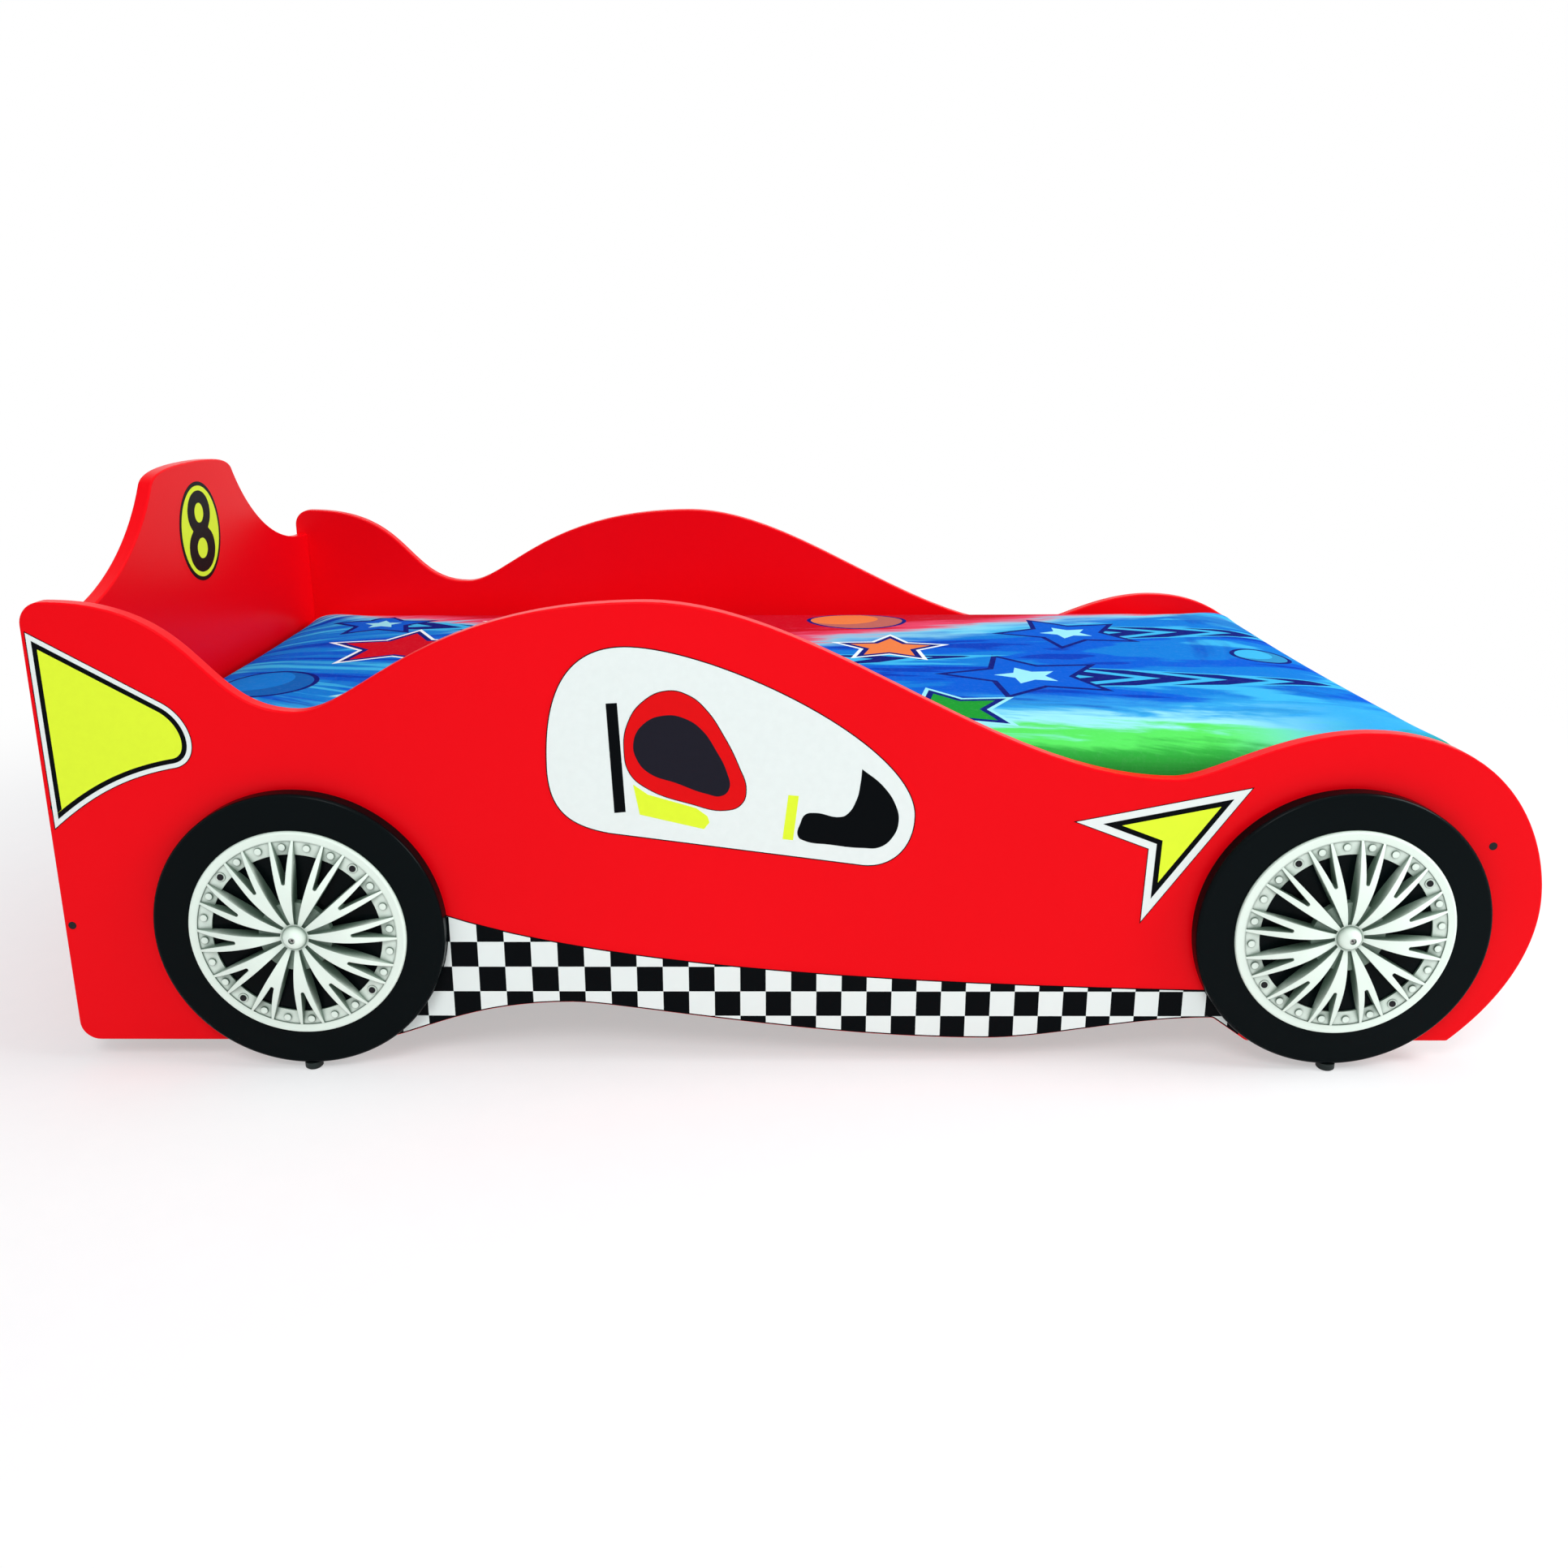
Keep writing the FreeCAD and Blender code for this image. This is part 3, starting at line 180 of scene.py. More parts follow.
def planed_pine(name):
    """Planed softwood with its grain along the slats, in long flames between darker rings."""
    s = Shader(name)
    bands = s.noise(9.0, 4.0, 0.55, (9, 0.6, 9), warp=0.6)
    rings = s.math("SINE", s.math("MULTIPLY", bands, 46.0))
    fibres = s.noise(420.0, 4.0, 0.6, (1, 0.03, 1))
    tone = s.mix(s.smooth(rings, -0.6, 0.9), srgb(226, 189, 139), srgb(205, 158, 104))
    tone = s.mix(s.math("MULTIPLY", fibres, 0.35), tone, srgb(176, 128, 80))
    gloss = s.math("MULTIPLY_ADD", fibres, 0.2, 0.5)
    return s.finish(tone, gloss, s.bump(fibres, 0.0002, 0.5), Specular_IOR_Level=0.3)


def screw_metal(name, colour, roughness, metallic):
    """A screw's finish, with small dull spots."""
    s = Shader(name)
    spots = s.smooth(s.noise(700.0, 4.0, 0.7), 0.4, 0.7)
    dull = tuple(part * 0.6 for part in colour[:3]) + (1.0,)
    gloss = s.math("MULTIPLY_ADD", spots, 0.2, roughness)
    return s.finish(s.mix(spots, colour, dull), gloss, Metallic=metallic)


class Print:
    """Flat motifs of the mattress cover, as signed distances in metres, negative inside.
    The print runs on over the edges and down the sides."""

    def __init__(self, shader):
        self.s = shader
        low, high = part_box("mattress")
        middle, half = (low + high) / 2, (high - low) / 2
        x, y, self.z = shader.axes()
        drop = shader.math("SUBTRACT", high.z, self.z)
        self.x = self.wrapped(x, middle.x, half.x, drop)
        self.y = self.wrapped(y, middle.y, half.y, drop)

    def wrapped(self, place, middle, half, drop):
        """A place on the flat print: the farther down a side, the farther out."""
        s = self.s
        stretch = s.math("MULTIPLY_ADD", drop, 1 / half, 1.0)
        return s.math("MULTIPLY_ADD", s.math("SUBTRACT", place, middle), stretch, middle)

    def local(self, centre, turn):
        """Coordinates round a centre, turned by an angle in degrees."""
        s = self.s
        dx = s.math("SUBTRACT", self.x, centre[0])
        dy = s.math("SUBTRACT", self.y, centre[1])
        cos, sin = math.cos(math.radians(turn)), math.sin(math.radians(turn))
        along = s.math("ADD", s.math("MULTIPLY", dx, cos), s.math("MULTIPLY", dy, sin))
        across = s.math("SUBTRACT", s.math("MULTIPLY", dy, cos), s.math("MULTIPLY", dx, sin))
        return along, across

    def distance(self, along, across):
        s = self.s
        squares = s.math("ADD", s.math("MULTIPLY", along, along), s.math("MULTIPLY", across, across))
        return s.math("SQRT", squares)

    def star(self, centre, radius, turn=0.0, points=5, depth=0.5):
        """A star; depth is the inner radius as a share of the outer."""
        s = self.s
        along, across = self.local(centre, turn)
        reach = self.distance(along, across)
        sector = 2 * math.pi / points
        angle = s.math("DIVIDE", s.math("ARCTAN2", across, along), sector)
        fold = s.math("ABSOLUTE", s.math("SUBTRACT", s.math("FRACT", s.math("ADD", angle, 10.5)), 0.5))
        fold = s.math("MULTIPLY", fold, sector)
        inner = (radius * depth * math.cos(sector / 2), radius * depth * math.sin(sector / 2))
        edge = Vector((inner[1], radius - inner[0])).normalized()
        out = s.math("SUBTRACT", s.math("MULTIPLY", reach, s.math("COSINE", fold)), radius)
        side = s.math("MULTIPLY", reach, s.math("SINE", fold))
        return s.math("ADD", s.math("MULTIPLY", out, edge.x), s.math("MULTIPLY", side, edge.y))

    def disc(self, centre, radius):
        along, across = self.local(centre, 0)
        return self.s.math("SUBTRACT", self.distance(along, across), radius)

    def tail(self, start, length, width, turn):
        """A tapering streak, and the place in its zigzag stripes."""
        s = self.s
        along, across = self.local(start, turn)
        spread = s.math("ABSOLUTE", across)
        share = s.math("DIVIDE", along, length)
        half = s.math("MULTIPLY", s.math("SUBTRACT", 1.0, share), width)
        before = s.math("LESS_THAN", along, 0.0)
        gap = s.math("ADD", s.math("SUBTRACT", spread, half), before)
        place = s.math("ADD", s.math("MULTIPLY", along, 13.0), s.math("MULTIPLY", spread, 30.0))
        return gap, s.math("FRACT", place)

    def paint(self, base, gap, colour, outline=None, width=0.004):
        """The base with a motif painted over it, and an outline round the motif."""
        s = self.s
        if outline is not None:
            base = s.mix(s.math("LESS_THAN", gap, width), base, outline)
        return s.mix(s.math("LESS_THAN", gap, 0.0), base, colour)


def printed_fabric(name):
    """A stretch cover printed with light rays, stars and comets in blue, red, green and orange."""
    s = Shader(name)
    p = Print(s)
    navy, deep, blue = srgb(6, 24, 118), srgb(0, 62, 182), srgb(2, 92, 208)
    sky, cyan, pale = srgb(14, 122, 212), srgb(60, 180, 232), srgb(154, 230, 242)
    red, rose, orange = srgb(206, 6, 32), srgb(232, 70, 104), srgb(238, 128, 70)
    green, leaf, white = srgb(88, 224, 96), srgb(26, 150, 48), srgb(238, 246, 250)

    rays_start = (-0.95, 0.02)
    along, across = p.local(rays_start, 0)
    round_start = s.math("MULTIPLY", s.math("ARCTAN2", across, along), 4.2)
    from_start = s.math("MULTIPLY", p.distance(along, across), 0.7)
    fan = s.add("ShaderNodeCombineXYZ", {0: round_start, 1: from_start})
    wash = s.noise(3.0, 5.0, 0.6, warp=0.8)
    rays = s.noise(2.6, 3.0, 0.55, place=fan.outputs[0], warp=0.5)
    strokes = s.noise(9.0, 4.0, 0.6, place=fan.outputs[0], warp=0.3)
    rays = s.math("MULTIPLY_ADD", s.math("SUBTRACT", strokes, 0.5), 0.16, rays)
    colour = s.mix(s.smooth(rays, 0.42, 0.44), deep, blue)
    colour = s.mix(s.smooth(rays, 0.485, 0.51), colour, sky)
    colour = s.mix(s.smooth(rays, 0.56, 0.60), colour, cyan)
    colour = s.mix(s.math("MULTIPLY", s.smooth(rays, 0.66, 0.74), 0.8), colour, pale)
    colour = s.mix(s.math("MULTIPLY", s.smooth(wash, 0.54, 0.66), 0.6), colour, deep)

    ragged = s.math("MULTIPLY", s.math("SUBTRACT", strokes, 0.5), 0.18)
    near = s.math("SUBTRACT", ragged, p.y)
    grass = s.smooth(p.x, 0.60, 0.42)
    colour = s.mix(s.math("MULTIPLY", s.smooth(near, 0.17, 0.25), 0.8), colour, cyan)
    colour = s.mix(s.math("MULTIPLY", s.smooth(near, 0.23, 0.27), grass), colour, pale)
    colour = s.mix(s.math("MULTIPLY", s.smooth(near, 0.27, 0.31), grass), colour, green)
    colour = s.mix(s.math("MULTIPLY", s.smooth(near, 0.32, 0.36), 0.75), colour, leaf)

    spread = s.math("ABSOLUTE", s.math("ADD", p.x, 0.08))
    far = s.math("ADD", s.math("MULTIPLY_ADD", spread, -0.45, p.y), ragged)
    colour = s.mix(s.math("MULTIPLY", s.smooth(far, -0.02, 0.05), 0.75), colour, pale)
    colour = s.mix(s.smooth(far, 0.03, 0.08), colour, rose)
    colour = s.mix(s.smooth(far, 0.08, 0.13), colour, red)

    comets = (
        ((0.38, 0.15), 0.40, 0.046, 2.0), ((0.28, -0.09), 0.42, 0.050, -5.0),
        ((-0.05, -0.02), 0.30, 0.040, 6.0), ((-0.58, 0.22), 0.26, 0.034, -12.0),
    )
    for start, length, width, turn in comets:
        gap, stripes = p.tail(start, length, width, turn)
        fill = s.mix(s.math("LESS_THAN", stripes, 0.62), cyan, navy)
        colour = p.paint(colour, gap, fill, cyan, 0.004)
        colour = p.paint(colour, p.star(start, width * 1.9, turn + 180), blue, navy, 0.007)
        colour = p.paint(colour, p.star(start, width * 0.8, turn + 180), pale)
    planets = (((0.10, 0.25), 0.066, orange), ((-0.62, -0.12), 0.056, sky), ((0.60, 0.02), 0.034, cyan))
    for centre, radius, tint in planets:
        body = p.disc(centre, radius)
        colour = p.paint(colour, body, tint, navy, 0.006)
        lit = p.disc((centre[0] - radius * 0.35, centre[1] + radius * 0.3), radius * 0.85)
        shadow = s.math("MULTIPLY", s.math("LESS_THAN", body, 0.0), s.math("GREATER_THAN", lit, 0.0))
        colour = s.mix(s.math("MULTIPLY", shadow, 0.4), colour, navy)
    stars = (
        ((-0.51, 0.07), 0.085, 20, red, white), ((-0.36, 0.24), 0.055, 35, rose, white),
        ((-0.45, -0.16), 0.050, 50, cyan, pale), ((0.13, 0.06), 0.055, 12, orange, white),
        ((0.17, -0.23), 0.060, 30, leaf, pale), ((-0.12, -0.22), 0.050, -10, sky, white),
    )
    for centre, radius, turn, tint, outline in stars:
        gap = p.star(centre, radius, turn)
        colour = p.paint(colour, gap, tint, outline, 0.012)
        colour = p.paint(colour, gap, tint, navy, 0.007)

    grain = s.noise(210.0, 4.0, 0.7)
    colour = s.mix(s.math("MULTIPLY", s.smooth(grain, 0.45, 0.75), 0.02), colour, white)
    underside = s.math("LESS_THAN", p.z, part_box("mattress")[0].z + SEAM_HEIGHT)
    colour = s.mix(underside, colour, srgb(184, 191, 201))

    waves = [s.math("SINE", s.math("MULTIPLY", place, 5200.0)) for place in (p.x, p.y)]
    creases = s.noise(5.0, 3.0, 0.5, (1, 2.2, 1), warp=0.3)
    normal = s.bump(creases, 0.004, 0.25)
    normal = s.bump(s.math("ADD", *waves), 0.00012, 0.35, normal)
    return s.finish(colour, 0.85, normal, Specular_IOR_Level=0.03)


FILM_SPECULAR = 0.04
SEAM_HEIGHT = 16 * MM                        # lower seam of the mattress, above its underside
RED, DEEP_RED = srgb(246, 5, 20), srgb(236, 4, 17)
WHITE, BLACK = srgb(238, 247, 243), srgb(4, 7, 10)
YELLOW = srgb(232, 255, 58)
materials = {
    "red_board": painted_board("red_board", RED, DEEP_RED, 0.30, 0.06),
    "black_disc": painted_board("black_disc", srgb(3, 9, 11), srgb(6, 15, 17), 0.24, 0.05),
    "white_cover": moulded_plastic("white_cover", srgb(238, 252, 240), srgb(96, 120, 104), 0.36, 0.2),
    "dark_glide": moulded_plastic("dark_glide", srgb(24, 40, 38), srgb(10, 18, 17), 0.45, 0.3),
    "pine": planed_pine("pine"),
    "black_screw": screw_metal("black_screw", srgb(26, 26, 30), 0.4, 0.6),
    "zinc_screw": screw_metal("zinc_screw", srgb(190, 192, 188), 0.3, 1.0),
    "window_print": printed_film("white_print", WHITE),
    "checker_print": checked_film("checker_print", WHITE, BLACK),
    "number_print": printed_film("black_print", BLACK),
    "mattress_cover": printed_fabric("mattress_cover"),
}
materials["tail_print"] = materials["arrow_print"] = materials["window_print"]
inks = {
    "white": materials["window_print"],
    "black": materials["number_print"],
    "yellow": printed_film("yellow_print", YELLOW),
    "grey": printed_film("grey_print", srgb(32, 31, 41)),
    "red": printed_film("red_print", srgb(232, 16, 20)),
}
for part in frame["record"]["subparts"]:
    mesh = nodes[part["node"]].data
    mesh.materials.clear()
    mesh.materials.append(materials[part["material_slot"]])


# ---------------------------------------------------------------- hub screws
def add_painted_recess_shade():
    """Bright hub screws, each with a flat dark cross on its head: painted shade that stands in for the
    shadowed cross recess.
    """
    mesh = nodes["hub_screws"].data
    mesh.materials.clear()
    mesh.materials.append(materials["zinc_screw"])
    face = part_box("hub_screws")[1].y
    half_long, half_wide, lift = 1.7 * MM, 0.45 * MM, 0.05 * MM
    for name in ("rear_right", "rear_left", "front_right", "front_left"):
        low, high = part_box("wheel_cover_" + name)
        middle = (low + high) / 2
        side = 1 if middle.y > 0 else -1
        verts, faces = [], []
        for turn in (30, 120):
            cos, sin = math.cos(math.radians(turn)), math.sin(math.radians(turn))
            for a, b in ((-1, -1), (1, -1), (1, 1), (-1, 1)):
                along, across = a * half_long, b * half_wide
                verts.append((middle.x + along * cos - across * sin, side * (face + lift),
                              middle.z + along * sin + across * cos))
            corners = list(range(len(verts) - 4, len(verts)))
            faces.append(corners[::-1] if side > 0 else corners)
        # Painted shade: a flat cross in dark screw metal, laid on the head where the recess would show only
        # shade.
        cross = bpy.data.meshes.new("hub_recess_shade")
        cross.from_pydata(verts, [], faces)
        cross.materials.append(materials["black_screw"])
        piece = bpy.data.objects.new("hub_recess_shade_" + name, cross)
        bpy.context.scene.collection.objects.link(piece)
        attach(piece, "bed")


add_painted_recess_shade()


# ---------------------------------------------------------------- printed stickers
side_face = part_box("window_film_right")[0].y    # outer face of the stickers on the right
head_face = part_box("number_film")[1].x
INK = 0.12 * MM                              # one layer of ink


class Face:
    """A flat printed face: its place, its two drawing axes and its outward direction."""

    def __init__(self, label, origin, across, outward):
        self.label = label
        self.across = Vector(across)
        self.up = Vector((0, 0, 1))
        self.outward = Vector(outward)
        self.origin = Vector(origin)

    def at(self, point, lift):
        return self.origin + self.across * point[0] + self.up * point[1] + self.outward * lift

    def flat(self, position):
        return (position.dot(self.across), position.z)


FACES = {
    "right": Face("right", (0, side_face, 0), (1, 0, 0), (0, -1, 0)),
    "left": Face("left", (0, -side_face, 0), (1, 0, 0), (0, 1, 0)),
    "head": Face("head", (head_face, 0, 0), (0, 1, 0), (1, 0, 0)),
}


def film_outline(node_name, face):
    """The outline of a sticker's outer face, as points in order."""
    surface = bmesh.new()
    surface.from_mesh(nodes[node_name].data)
    bmesh.ops.remove_doubles(surface, verts=surface.verts, dist=1e-6)
    surface.normal_update()
    outer = {f for f in surface.faces if f.normal.dot(face.outward) > 0.9}
    rim = [e for e in surface.edges if len([f for f in e.link_faces if f in outer]) == 1]
    follows = {}
    for edge in rim:
        for vert in edge.verts:
            follows.setdefault(vert, []).append(edge)
    start = rim[0].verts[0]
    points, vert, edge = [], start, rim[0]
    while True:
        points.append(face.flat(vert.co))
        vert = edge.other_vert(vert)
        if vert == start:
            break
        edge = next(e for e in follows[vert] if e != edge)
    surface.free()
    area = sum(a[0] * b[1] - b[0] * a[1] for a, b in zip(points, points[1:] + points[:1]))
    return points if area > 0 else points[::-1]


def offset(points, distance):
    """A closed outline, counter-clockwise, moved inwards by the distance, or outwards if negative."""
    moved = []
    for before, here, after in zip(points[-1:] + points[:-1], points, points[1:] + points[:1]):
        first = (Vector(here) - Vector(before)).normalized()
        second = (Vector(after) - Vector(here)).normalized()
        normals = Vector((-first.y, first.x)), Vector((-second.y, second.x))
        miter = (normals[0] + normals[1]) / max(1 + normals[0].dot(normals[1]), 0.12)
        moved.append(tuple(Vector(here) + miter * distance))
    return moved


def piece_from(name, mesh, material):
    piece = bpy.data.objects.new(name, mesh)
    bpy.context.scene.collection.objects.link(piece)
    mesh.materials.clear()
    mesh.materials.append(material)
    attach(piece, "bed")
    return piece


def printed(name, loops, face, layer, ink, rounded=True, sharp=()):
    """A layer of ink on a face, filled between closed outlines. Points are in metres."""
    curve = bpy.data.curves.new(name, "CURVE")
    curve.dimensions = "2D"
    curve.fill_mode = "BOTH"
    curve.resolution_u = 8
    curve.extrude = INK / 2
    for loop in loops:
        spline = curve.splines.new("BEZIER")
        spline.bezier_points.add(len(loop) - 1)
        spline.use_cyclic_u = True
        for place, (knot, point) in enumerate(zip(spline.bezier_points, loop)):
            knot.co = (point[0], point[1], 0)
            smooth = rounded and place not in sharp
            knot.handle_left_type = knot.handle_right_type = "AUTO" if smooth else "VECTOR"
    drawn = bpy.data.objects.new(name + "_outline", curve)
    bpy.context.scene.collection.objects.link(drawn)
    bpy.context.view_layer.update()
    mesh = bpy.data.meshes.new_from_object(drawn)
    bpy.data.objects.remove(drawn)
    lift = INK * (layer + 0.5)
    for vert in mesh.vertices:
        vert.co = face.at(vert.co, lift + vert.co.z)
    if face.across.cross(face.up).dot(face.outward) < 0:
        mesh.flip_normals()
    return piece_from("%s_%s" % (name, face.label), mesh, inks[ink])


def keyline(name, outline, face, layer, width, ink="black"):
    """A thin printed line round an outline."""
    outer = offset(outline, -width)
    mesh = bpy.data.meshes.new(name)
    count = len(outline)
    lift = INK * layer
    verts = [face.at(point, lift) for point in outline + outer]
    quads = [(i, (i + 1) % count, count + (i + 1) % count, count + i) for i in range(count)]
    mesh.from_pydata(verts, [], quads)
    mesh.update()
    return piece_from("%s_%s" % (name, face.label), mesh, inks[ink])


def mm(points):
    return [(x * MM, z * MM) for x, z in points]


# The printed shapes, in millimetres along the side and above the floor.
HELMET = mm([
    (-126, 399), (-150, 388), (-165, 366), (-169, 340), (-164, 316), (-148, 301), (-106, 285),
    (-71, 278), (-56, 284), (-51, 299), (-58, 323), (-73, 355), (-89, 380), (-105, 394),
])
VISOR = mm([
    (-128, 375), (-150, 366), (-160, 347), (-156, 328), (-145, 316), (-119, 306), (-90, 295),
    (-74, 293), (-67, 301), (-69, 316), (-80, 340), (-93, 360), (-108, 371),
])
COLLAR = mm([
    (-161.5, 304.5), (-147, 294), (-100, 280), (-89, 271.5), (-87, 265), (-92.6, 258), (-155.7, 273.3),
])
SEAT = mm([
    (62.6, 320.2), (83.5, 302.6), (96.7, 281.6), (99.5, 266.3), (94.3, 250.1), (81.7, 239),
    (64.8, 238), (31.8, 241.6), (6.1, 245.9), (0.4, 250.2), (2.8, 264.7), (7.5, 273.2),
    (17.1, 274.9), (41.9, 270.6), (48.3, 273.2), (57.6, 288.4), (61.3, 306),
])
PILLAR = mm([(-185.7, 386.8), (-174.8, 387.4), (-169.5, 276), (-180.7, 275)])
STRIP = mm([(-9.3, 293.5), (1, 292.6), (-4.6, 246.3), (-15, 247.6)])

# The number: its middle above the floor, then each bowl's centre, outer and inner reach, and sweep.
DIGIT_CENTRE = 504.0
UPPER_BOWL = ((0, 22.7), (31, 27), (12, 12), (90, -46))
LOWER_BOWL = ((0, -20.7), (35.5, 29), (14, 12.5), (54, -90))

# Widths of the printed lines, then of the margins, each measured in from its sticker's edge.
FINE_LINE, WINDOW_LINE, CHECKER_LINE = 0.8 * MM, 1.0 * MM, 1.2 * MM
TAIL_WHITE, TAIL_BAND = 4.6 * MM, 9.4 * MM
ARROW_WHITE, ARROW_BAND = 7.4 * MM, 12.7 * MM
NUMBER_RING = 5.0 * MM


def side_print(face):
    """Everything that is printed on one side of the car."""
    window = film_outline("window_film_" + face.label, face)
    keyline("window_line", window, face, 0, WINDOW_LINE)
    printed("helmet_line", [offset(HELMET, -FINE_LINE)], face, 0, "black")
    printed("helmet", [HELMET], face, 1, "red")
    printed("visor", [VISOR], face, 2, "grey")
    printed("collar", [COLLAR], face, 0, "yellow", rounded=False)
    printed("seat", [SEAT], face, 0, "black", sharp=(0,))
    printed("pillar", [PILLAR], face, 0, "black", rounded=False)
    printed("strip", [STRIP], face, 0, "yellow", rounded=False)
    tail = film_outline("tail_light_film_" + face.label, face)
    keyline("tail_line", tail, face, 0, FINE_LINE)
    printed("tail_band", [offset(tail, TAIL_WHITE)], face, 0, "black", rounded=False)
    printed("tail_glow", [offset(tail, TAIL_BAND)], face, 1, "yellow", rounded=False)
    arrow = film_outline("arrow_film_" + face.label, face)
    keyline("arrow_line", arrow, face, 0, FINE_LINE)
    printed("arrow_band", [offset(arrow, ARROW_WHITE)], face, 0, "black", rounded=False)
    printed("arrow_head", [offset(arrow, ARROW_BAND)], face, 1, "yellow", rounded=False)
    checks = film_outline("checker_film_" + face.label, face)
    keyline("checker_line", checks, face, 0, CHECKER_LINE)


def bowl(centre, reach, first, last, steps):
    """Points along an ellipse, between two angles in degrees."""
    angles = [math.radians(first + (last - first) * k / steps) for k in range(steps + 1)]
    return [(centre[0] + reach[0] * math.cos(a), centre[1] + reach[1] * math.sin(a)) for a in angles]


def number_print(face):
    """The plain number in its oval."""
    oval = film_outline("number_film", face)
    printed("number_ground", [offset(oval, NUMBER_RING)], face, 0, "yellow", rounded=False)
    right, loops = [], []
    for centre, outer, inner, sweep in (UPPER_BOWL, LOWER_BOWL):
        right += bowl(centre, outer, *sweep, 6)
        loops.append(bowl(centre, inner, 0, 315, 7))
    left = [(-x, z) for x, z in right[-2:0:-1]]
    loops = [[(x * MM, (DIGIT_CENTRE + z) * MM) for x, z in loop] for loop in [right + left] + loops]
    printed("number", loops, face, 1, "black")


side_print(FACES["right"])
side_print(FACES["left"])
number_print(FACES["head"])


# ---------------------------------------------------------------- mattress
def rounded_block(name, low, high, cell, corner, top_roll, bottom_roll):
    """A closed block of even cells: rounded in plan, rolled over at the top, nearly square below."""
    size = high - low
    counts = [max(2, round(length / cell)) for length in size]
    surface = bmesh.new()
    grid = {}

    def vert(i, j, k):
        if (i, j, k) not in grid:
            unit = [2 * a / n - 1 for a, n in zip((i, j, k), counts)]
            half = size / 2
            point = Vector([u * h for u, h in zip(unit, half)])
            rolls = (corner, corner, top_roll if point.z > 0 else bottom_roll)
            inner = Vector([max(-h + r, min(h - r, c)) for c, h, r in zip(point, half, rolls)])
            over = Vector([(c - i) / r for c, i, r in zip(point, inner, rolls)])
            if over.length > 1e-9:
                over *= max(abs(c) for c in over) / over.length
            rolled = Vector([o * r for o, r in zip(over, rolls)])
            grid[i, j, k] = surface.verts.new((low + high) / 2 + inner + rolled)
        return grid[i, j, k]

    for axis in range(3):
        a, b = (axis + 1) % 3, (axis + 2) % 3
        for end in (0, counts[axis]):
            for u in range(counts[a]):
                for v in range(counts[b]):
                    corners = []
                    for du, dv in ((0, 0), (1, 0), (1, 1), (0, 1)):
                        index = [0, 0, 0]
                        index[axis], index[a], index[b] = end, u + du, v + dv
                        corners.append(vert(*index))
                    surface.faces.new(corners if end else corners[::-1])
    mesh = bpy.data.meshes.new(name)
    surface.to_mesh(mesh)
    surface.free()
    return mesh


def drawn_in(mesh, middle, half, crown, draws):
    """Raises the top towards its middle and draws the sides in between the corners."""
    for vert in mesh.vertices:
        place = vert.co - middle
        x, y = place.x / half.x, place.y / half.y
        rise = max(0.0, 1 - x ** 4) * max(0.0, 1 - y ** 2)
        vert.co.z += crown * rise * max(0.0, place.z / half.z)
        vert.co.x -= draws[0] * x ** 5 * max(0.0, 1 - y ** 2)
        vert.co.y -= draws[1] * y ** 5 * max(0.0, 1 - x ** 2)


def fitted(piece, low, high):
    """Scales a piece so that its box is the given one."""
    spots = [vert.co for vert in piece.data.vertices]
    least = Vector([min(spot[i] for spot in spots) for i in range(3)])
    most = Vector([max(spot[i] for spot in spots) for i in range(3)])
    for spot in spots:
        for i in range(3):
            share = (spot[i] - least[i]) / (most[i] - least[i])
            spot[i] = low[i] + share * (high[i] - low[i])


def swell(piece, pressure, cap, floor):
    """Fills the cover: a short cloth run under pressure, held at the base, then made permanent."""
    scene = bpy.context.scene
    rest = [vert.co.copy() for vert in piece.data.vertices]
    group = piece.vertex_groups.new(name="base")
    group.add([i for i, co in enumerate(rest) if co.z < floor + 0.02], 1.0, "REPLACE")
    cloth = piece.modifiers.new("cover", "CLOTH")
    settings = cloth.settings
    settings.vertex_group_mass = "base"
    settings.use_pressure = True
    settings.uniform_pressure_force = pressure
    settings.tension_stiffness = settings.compression_stiffness = 12
    settings.shear_stiffness = 6
    settings.bending_stiffness = 1.5
    settings.mass = 0.25
    settings.effector_weights.gravity = 0
    for number in range(1, 21):
        scene.frame_set(number)
    swollen = piece.evaluated_get(bpy.context.evaluated_depsgraph_get()).data
    moved = [vert.co.copy() for vert in swollen.vertices]
    piece.modifiers.remove(cloth)
    for vert, start, end in zip(piece.data.vertices, rest, moved):
        step = end - start
        if step.length > cap:
            step *= cap / step.length
        vert.co = start + step
    scene.frame_set(1)


def perimeter(piece, height, spread):
    """Points round a piece at about the given height, in order, moved out by the spread."""
    near = 6 * MM
    spots = [v.co.copy() for v in piece.data.vertices if abs(v.co.z - height) < near]
    middle = sum(spots, Vector()) / len(spots)
    sectors = 360
    ring = {}
    for spot in spots:
        angle = math.atan2(spot.y - middle.y, spot.x - middle.x)
        sector = int((angle / (2 * math.pi) + 0.5) * sectors)
        if sector not in ring or abs(spot.z - height) < abs(ring[sector].z - height):
            ring[sector] = spot
    points = []
    for sector in sorted(ring):
        spot = ring[sector]
        outward = Vector((spot.x - middle.x, spot.y - middle.y, 0)).normalized()
        points.append(Vector((spot.x, spot.y, height)) + outward * spread)
    return points


def add_seam(piece, height):
    """The sewn seam where the printed cover meets its plain underside."""
    curve = bpy.data.curves.new("mattress_seam", "CURVE")
    curve.dimensions = "3D"
    curve.bevel_depth = 1.6 * MM
    curve.bevel_resolution = 2
    points = perimeter(piece, height, 0.4 * MM)
    spline = curve.splines.new("POLY")
    spline.points.add(len(points) - 1)
    spline.use_cyclic_u = True
    for knot, point in zip(spline.points, points):
        knot.co = (*point, 1)
    seam = bpy.data.objects.new("mattress_seam", curve)
    bpy.context.scene.collection.objects.link(seam)
    curve.materials.append(materials["mattress_cover"])
    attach(seam, "mattress")


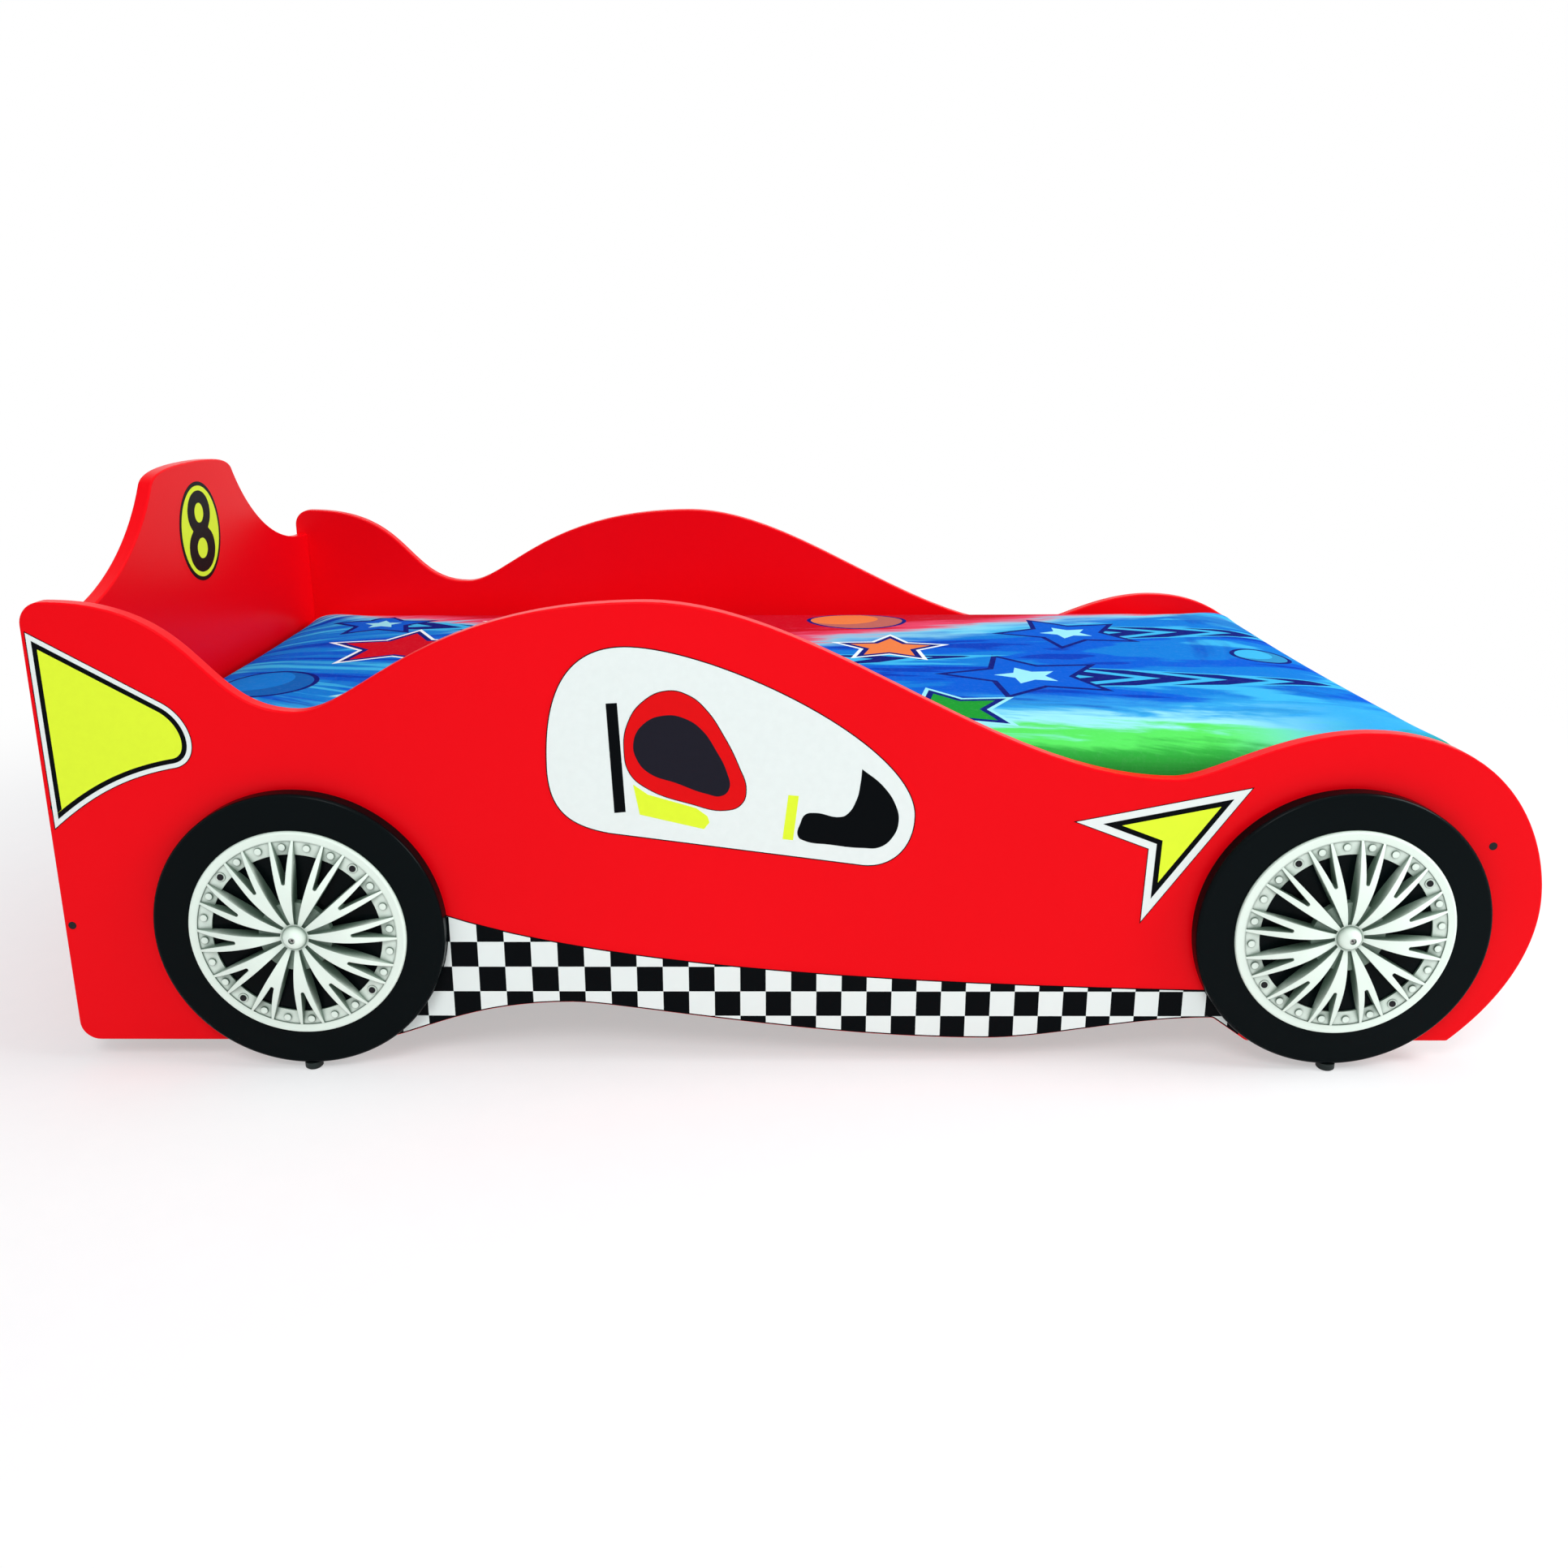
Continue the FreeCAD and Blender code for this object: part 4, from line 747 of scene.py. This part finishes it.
def add_mattress():
    low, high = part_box("mattress")
    crown = 2 * MM
    shrink = Vector((4, 4, 1)) * MM
    start = Vector((low.x + shrink.x, low.y + shrink.y, low.z))
    end = Vector((high.x - shrink.x, high.y - shrink.y, high.z - crown - shrink.z))
    cell, corner, top_roll, bottom_roll = 12.5 * MM, 34 * MM, 24 * MM, 12 * MM
    end_draw, side_draw = 12 * MM, 5 * MM
    mesh = rounded_block("mattress_cover", start, end, cell, corner, top_roll, bottom_roll)
    drawn_in(mesh, (start + end) / 2, (end - start) / 2, crown, (end_draw, side_draw))
    piece = bpy.data.objects.new("mattress_cover", mesh)
    bpy.context.scene.collection.objects.link(piece)
    mesh.materials.append(materials["mattress_cover"])
    swell(piece, 4.0, 5 * MM, low.z)
    fitted(piece, low, high)
    for polygon in mesh.polygons:
        polygon.use_smooth = True
    piece.modifiers.new("smooth", "SUBSURF").render_levels = 1
    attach(piece, "mattress")
    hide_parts("mattress")
    add_seam(piece, low.z + SEAM_HEIGHT)


add_mattress()


# ---------------------------------------------------------------- stage, light and camera
def seen_directly(add):
    """1 for a ray that shows the background, straight or through gloss and glass."""
    path = add("ShaderNodeLightPath").outputs
    either = add("ShaderNodeMath", operation="MAXIMUM")
    link = either.id_data.links.new
    link(path["Is Camera Ray"], either.inputs[0])
    link(path["Is Glossy Ray"], either.inputs[1])
    any_ray = add("ShaderNodeMath", operation="MAXIMUM")
    link(either.outputs[0], any_ray.inputs[0])
    link(path["Is Transmission Ray"], any_ray.inputs[1])
    return any_ray.outputs[0]


def pale_surface(name, colour):
    """A pale floor that keeps the object's shadow and turns into the white background far off."""
    s = Shader(name)
    grain = s.noise(30.0, 3.0)
    diffuse = s.add("ShaderNodeBsdfDiffuse", {"Color": s.mix(grain, colour, srgb(246, 247, 249))})
    reach = s.add("ShaderNodeVectorMath", {0: s.place}, operation="LENGTH").outputs["Value"]
    share = s.math("MULTIPLY_ADD", s.smooth(reach, 0.8, 1.9), 0.55, 0.45)
    away = s.math("MULTIPLY", share, seen_directly(s.add))
    white = s.add("ShaderNodeEmission", {"Color": (1, 1, 1, 1), "Strength": 1.0})
    both = s.add("ShaderNodeMixShader", {0: away, 1: diffuse.outputs[0], 2: white.outputs[0]})
    s.links.new(both.outputs[0], s.add("ShaderNodeOutputMaterial").inputs[0])
    return s.material


def add_floor():
    mesh = bpy.data.meshes.new("floor")
    reach = 30.0
    corners = [(-reach, -reach, 0), (reach, -reach, 0), (reach, reach, 0), (-reach, reach, 0)]
    mesh.from_pydata(corners, [], [(0, 1, 2, 3)])
    floor = bpy.data.objects.new("floor", mesh)
    mesh.materials.append(pale_surface("pale_floor", srgb(252, 252, 253)))
    bpy.context.scene.collection.objects.link(floor)


def add_world():
    """White to the eye, and a plain soft light to everything else."""
    world = bpy.data.worlds.new("studio")
    bpy.context.scene.world = world
    world.use_nodes = True
    tree = world.node_tree
    tree.nodes.clear()

    def add(kind, operation=None):
        node = tree.nodes.new(kind)
        if operation:
            node.operation = operation
        return node

    seen = seen_directly(add)
    soft, white = add("ShaderNodeBackground"), add("ShaderNodeBackground")
    soft.inputs["Color"].default_value = srgb(246, 250, 255)
    soft.inputs["Strength"].default_value = 0.47
    white.inputs["Color"].default_value = (1, 1, 1, 1)
    pick = add("ShaderNodeMixShader")
    tree.links.new(seen, pick.inputs[0])
    tree.links.new(soft.outputs[0], pick.inputs[1])
    tree.links.new(white.outputs[0], pick.inputs[2])
    tree.links.new(pick.outputs[0], add("ShaderNodeOutputWorld").inputs[0])


def add_lamp(name, position, target, size, power):
    light = bpy.data.lights.new(name, "AREA")
    light.shape = "DISK"
    light.size = size
    light.energy = power
    lamp = bpy.data.objects.new(name, light)
    lamp.location = position
    lamp.rotation_euler = (Vector(target) - Vector(position)).to_track_quat("-Z", "Y").to_euler()
    bpy.context.scene.collection.objects.link(lamp)


def add_camera():
    """The photograph's view: a near view from a little above, level with the middle of the side."""
    pixels = 1932
    focal, centre = 1564, (929, 846)
    position = (-0.0307, -1.554, 0.7114)
    pitch, turn, tilt = (math.radians(angle) for angle in (14.65, -0.58, -0.23))
    ahead = Vector((math.sin(turn) * math.cos(pitch), math.cos(turn) * math.cos(pitch), -math.sin(pitch)))
    right = Vector((math.cos(turn), -math.sin(turn), 0))
    up = right.cross(ahead)
    tilted = right * math.cos(tilt) + up * math.sin(tilt)
    raised = up * math.cos(tilt) - right * math.sin(tilt)
    lens = bpy.data.cameras.new("camera")
    lens.sensor_width = 36
    lens.lens = 36 * focal / pixels
    lens.shift_x = (pixels / 2 - centre[0]) / pixels
    lens.shift_y = (centre[1] - pixels / 2) / pixels
    lens.clip_start = 0.05
    camera = bpy.data.objects.new("camera", lens)
    camera.matrix_world = Matrix.Translation(position) @ Matrix(
        [[tilted[i], raised[i], -ahead[i]] for i in range(3)]
    ).to_4x4()
    bpy.context.scene.collection.objects.link(camera)
    bpy.context.scene.camera = camera


add_floor()
add_world()
add_lamp("key", (-0.5, -2.5, 2.7), (-0.1, 0, 0.3), 1.3, 36)
add_lamp("side", (2.7, -0.7, 2.0), (-0.4, 0, 0.3), 1.6, 64)
add_lamp("top", (0.4, 0.3, 3.6), (0, 0, 0.2), 2.4, 20)
add_camera()
bpy.context.scene.view_settings.view_transform = "Standard"
bpy.context.scene.view_settings.look = "None"
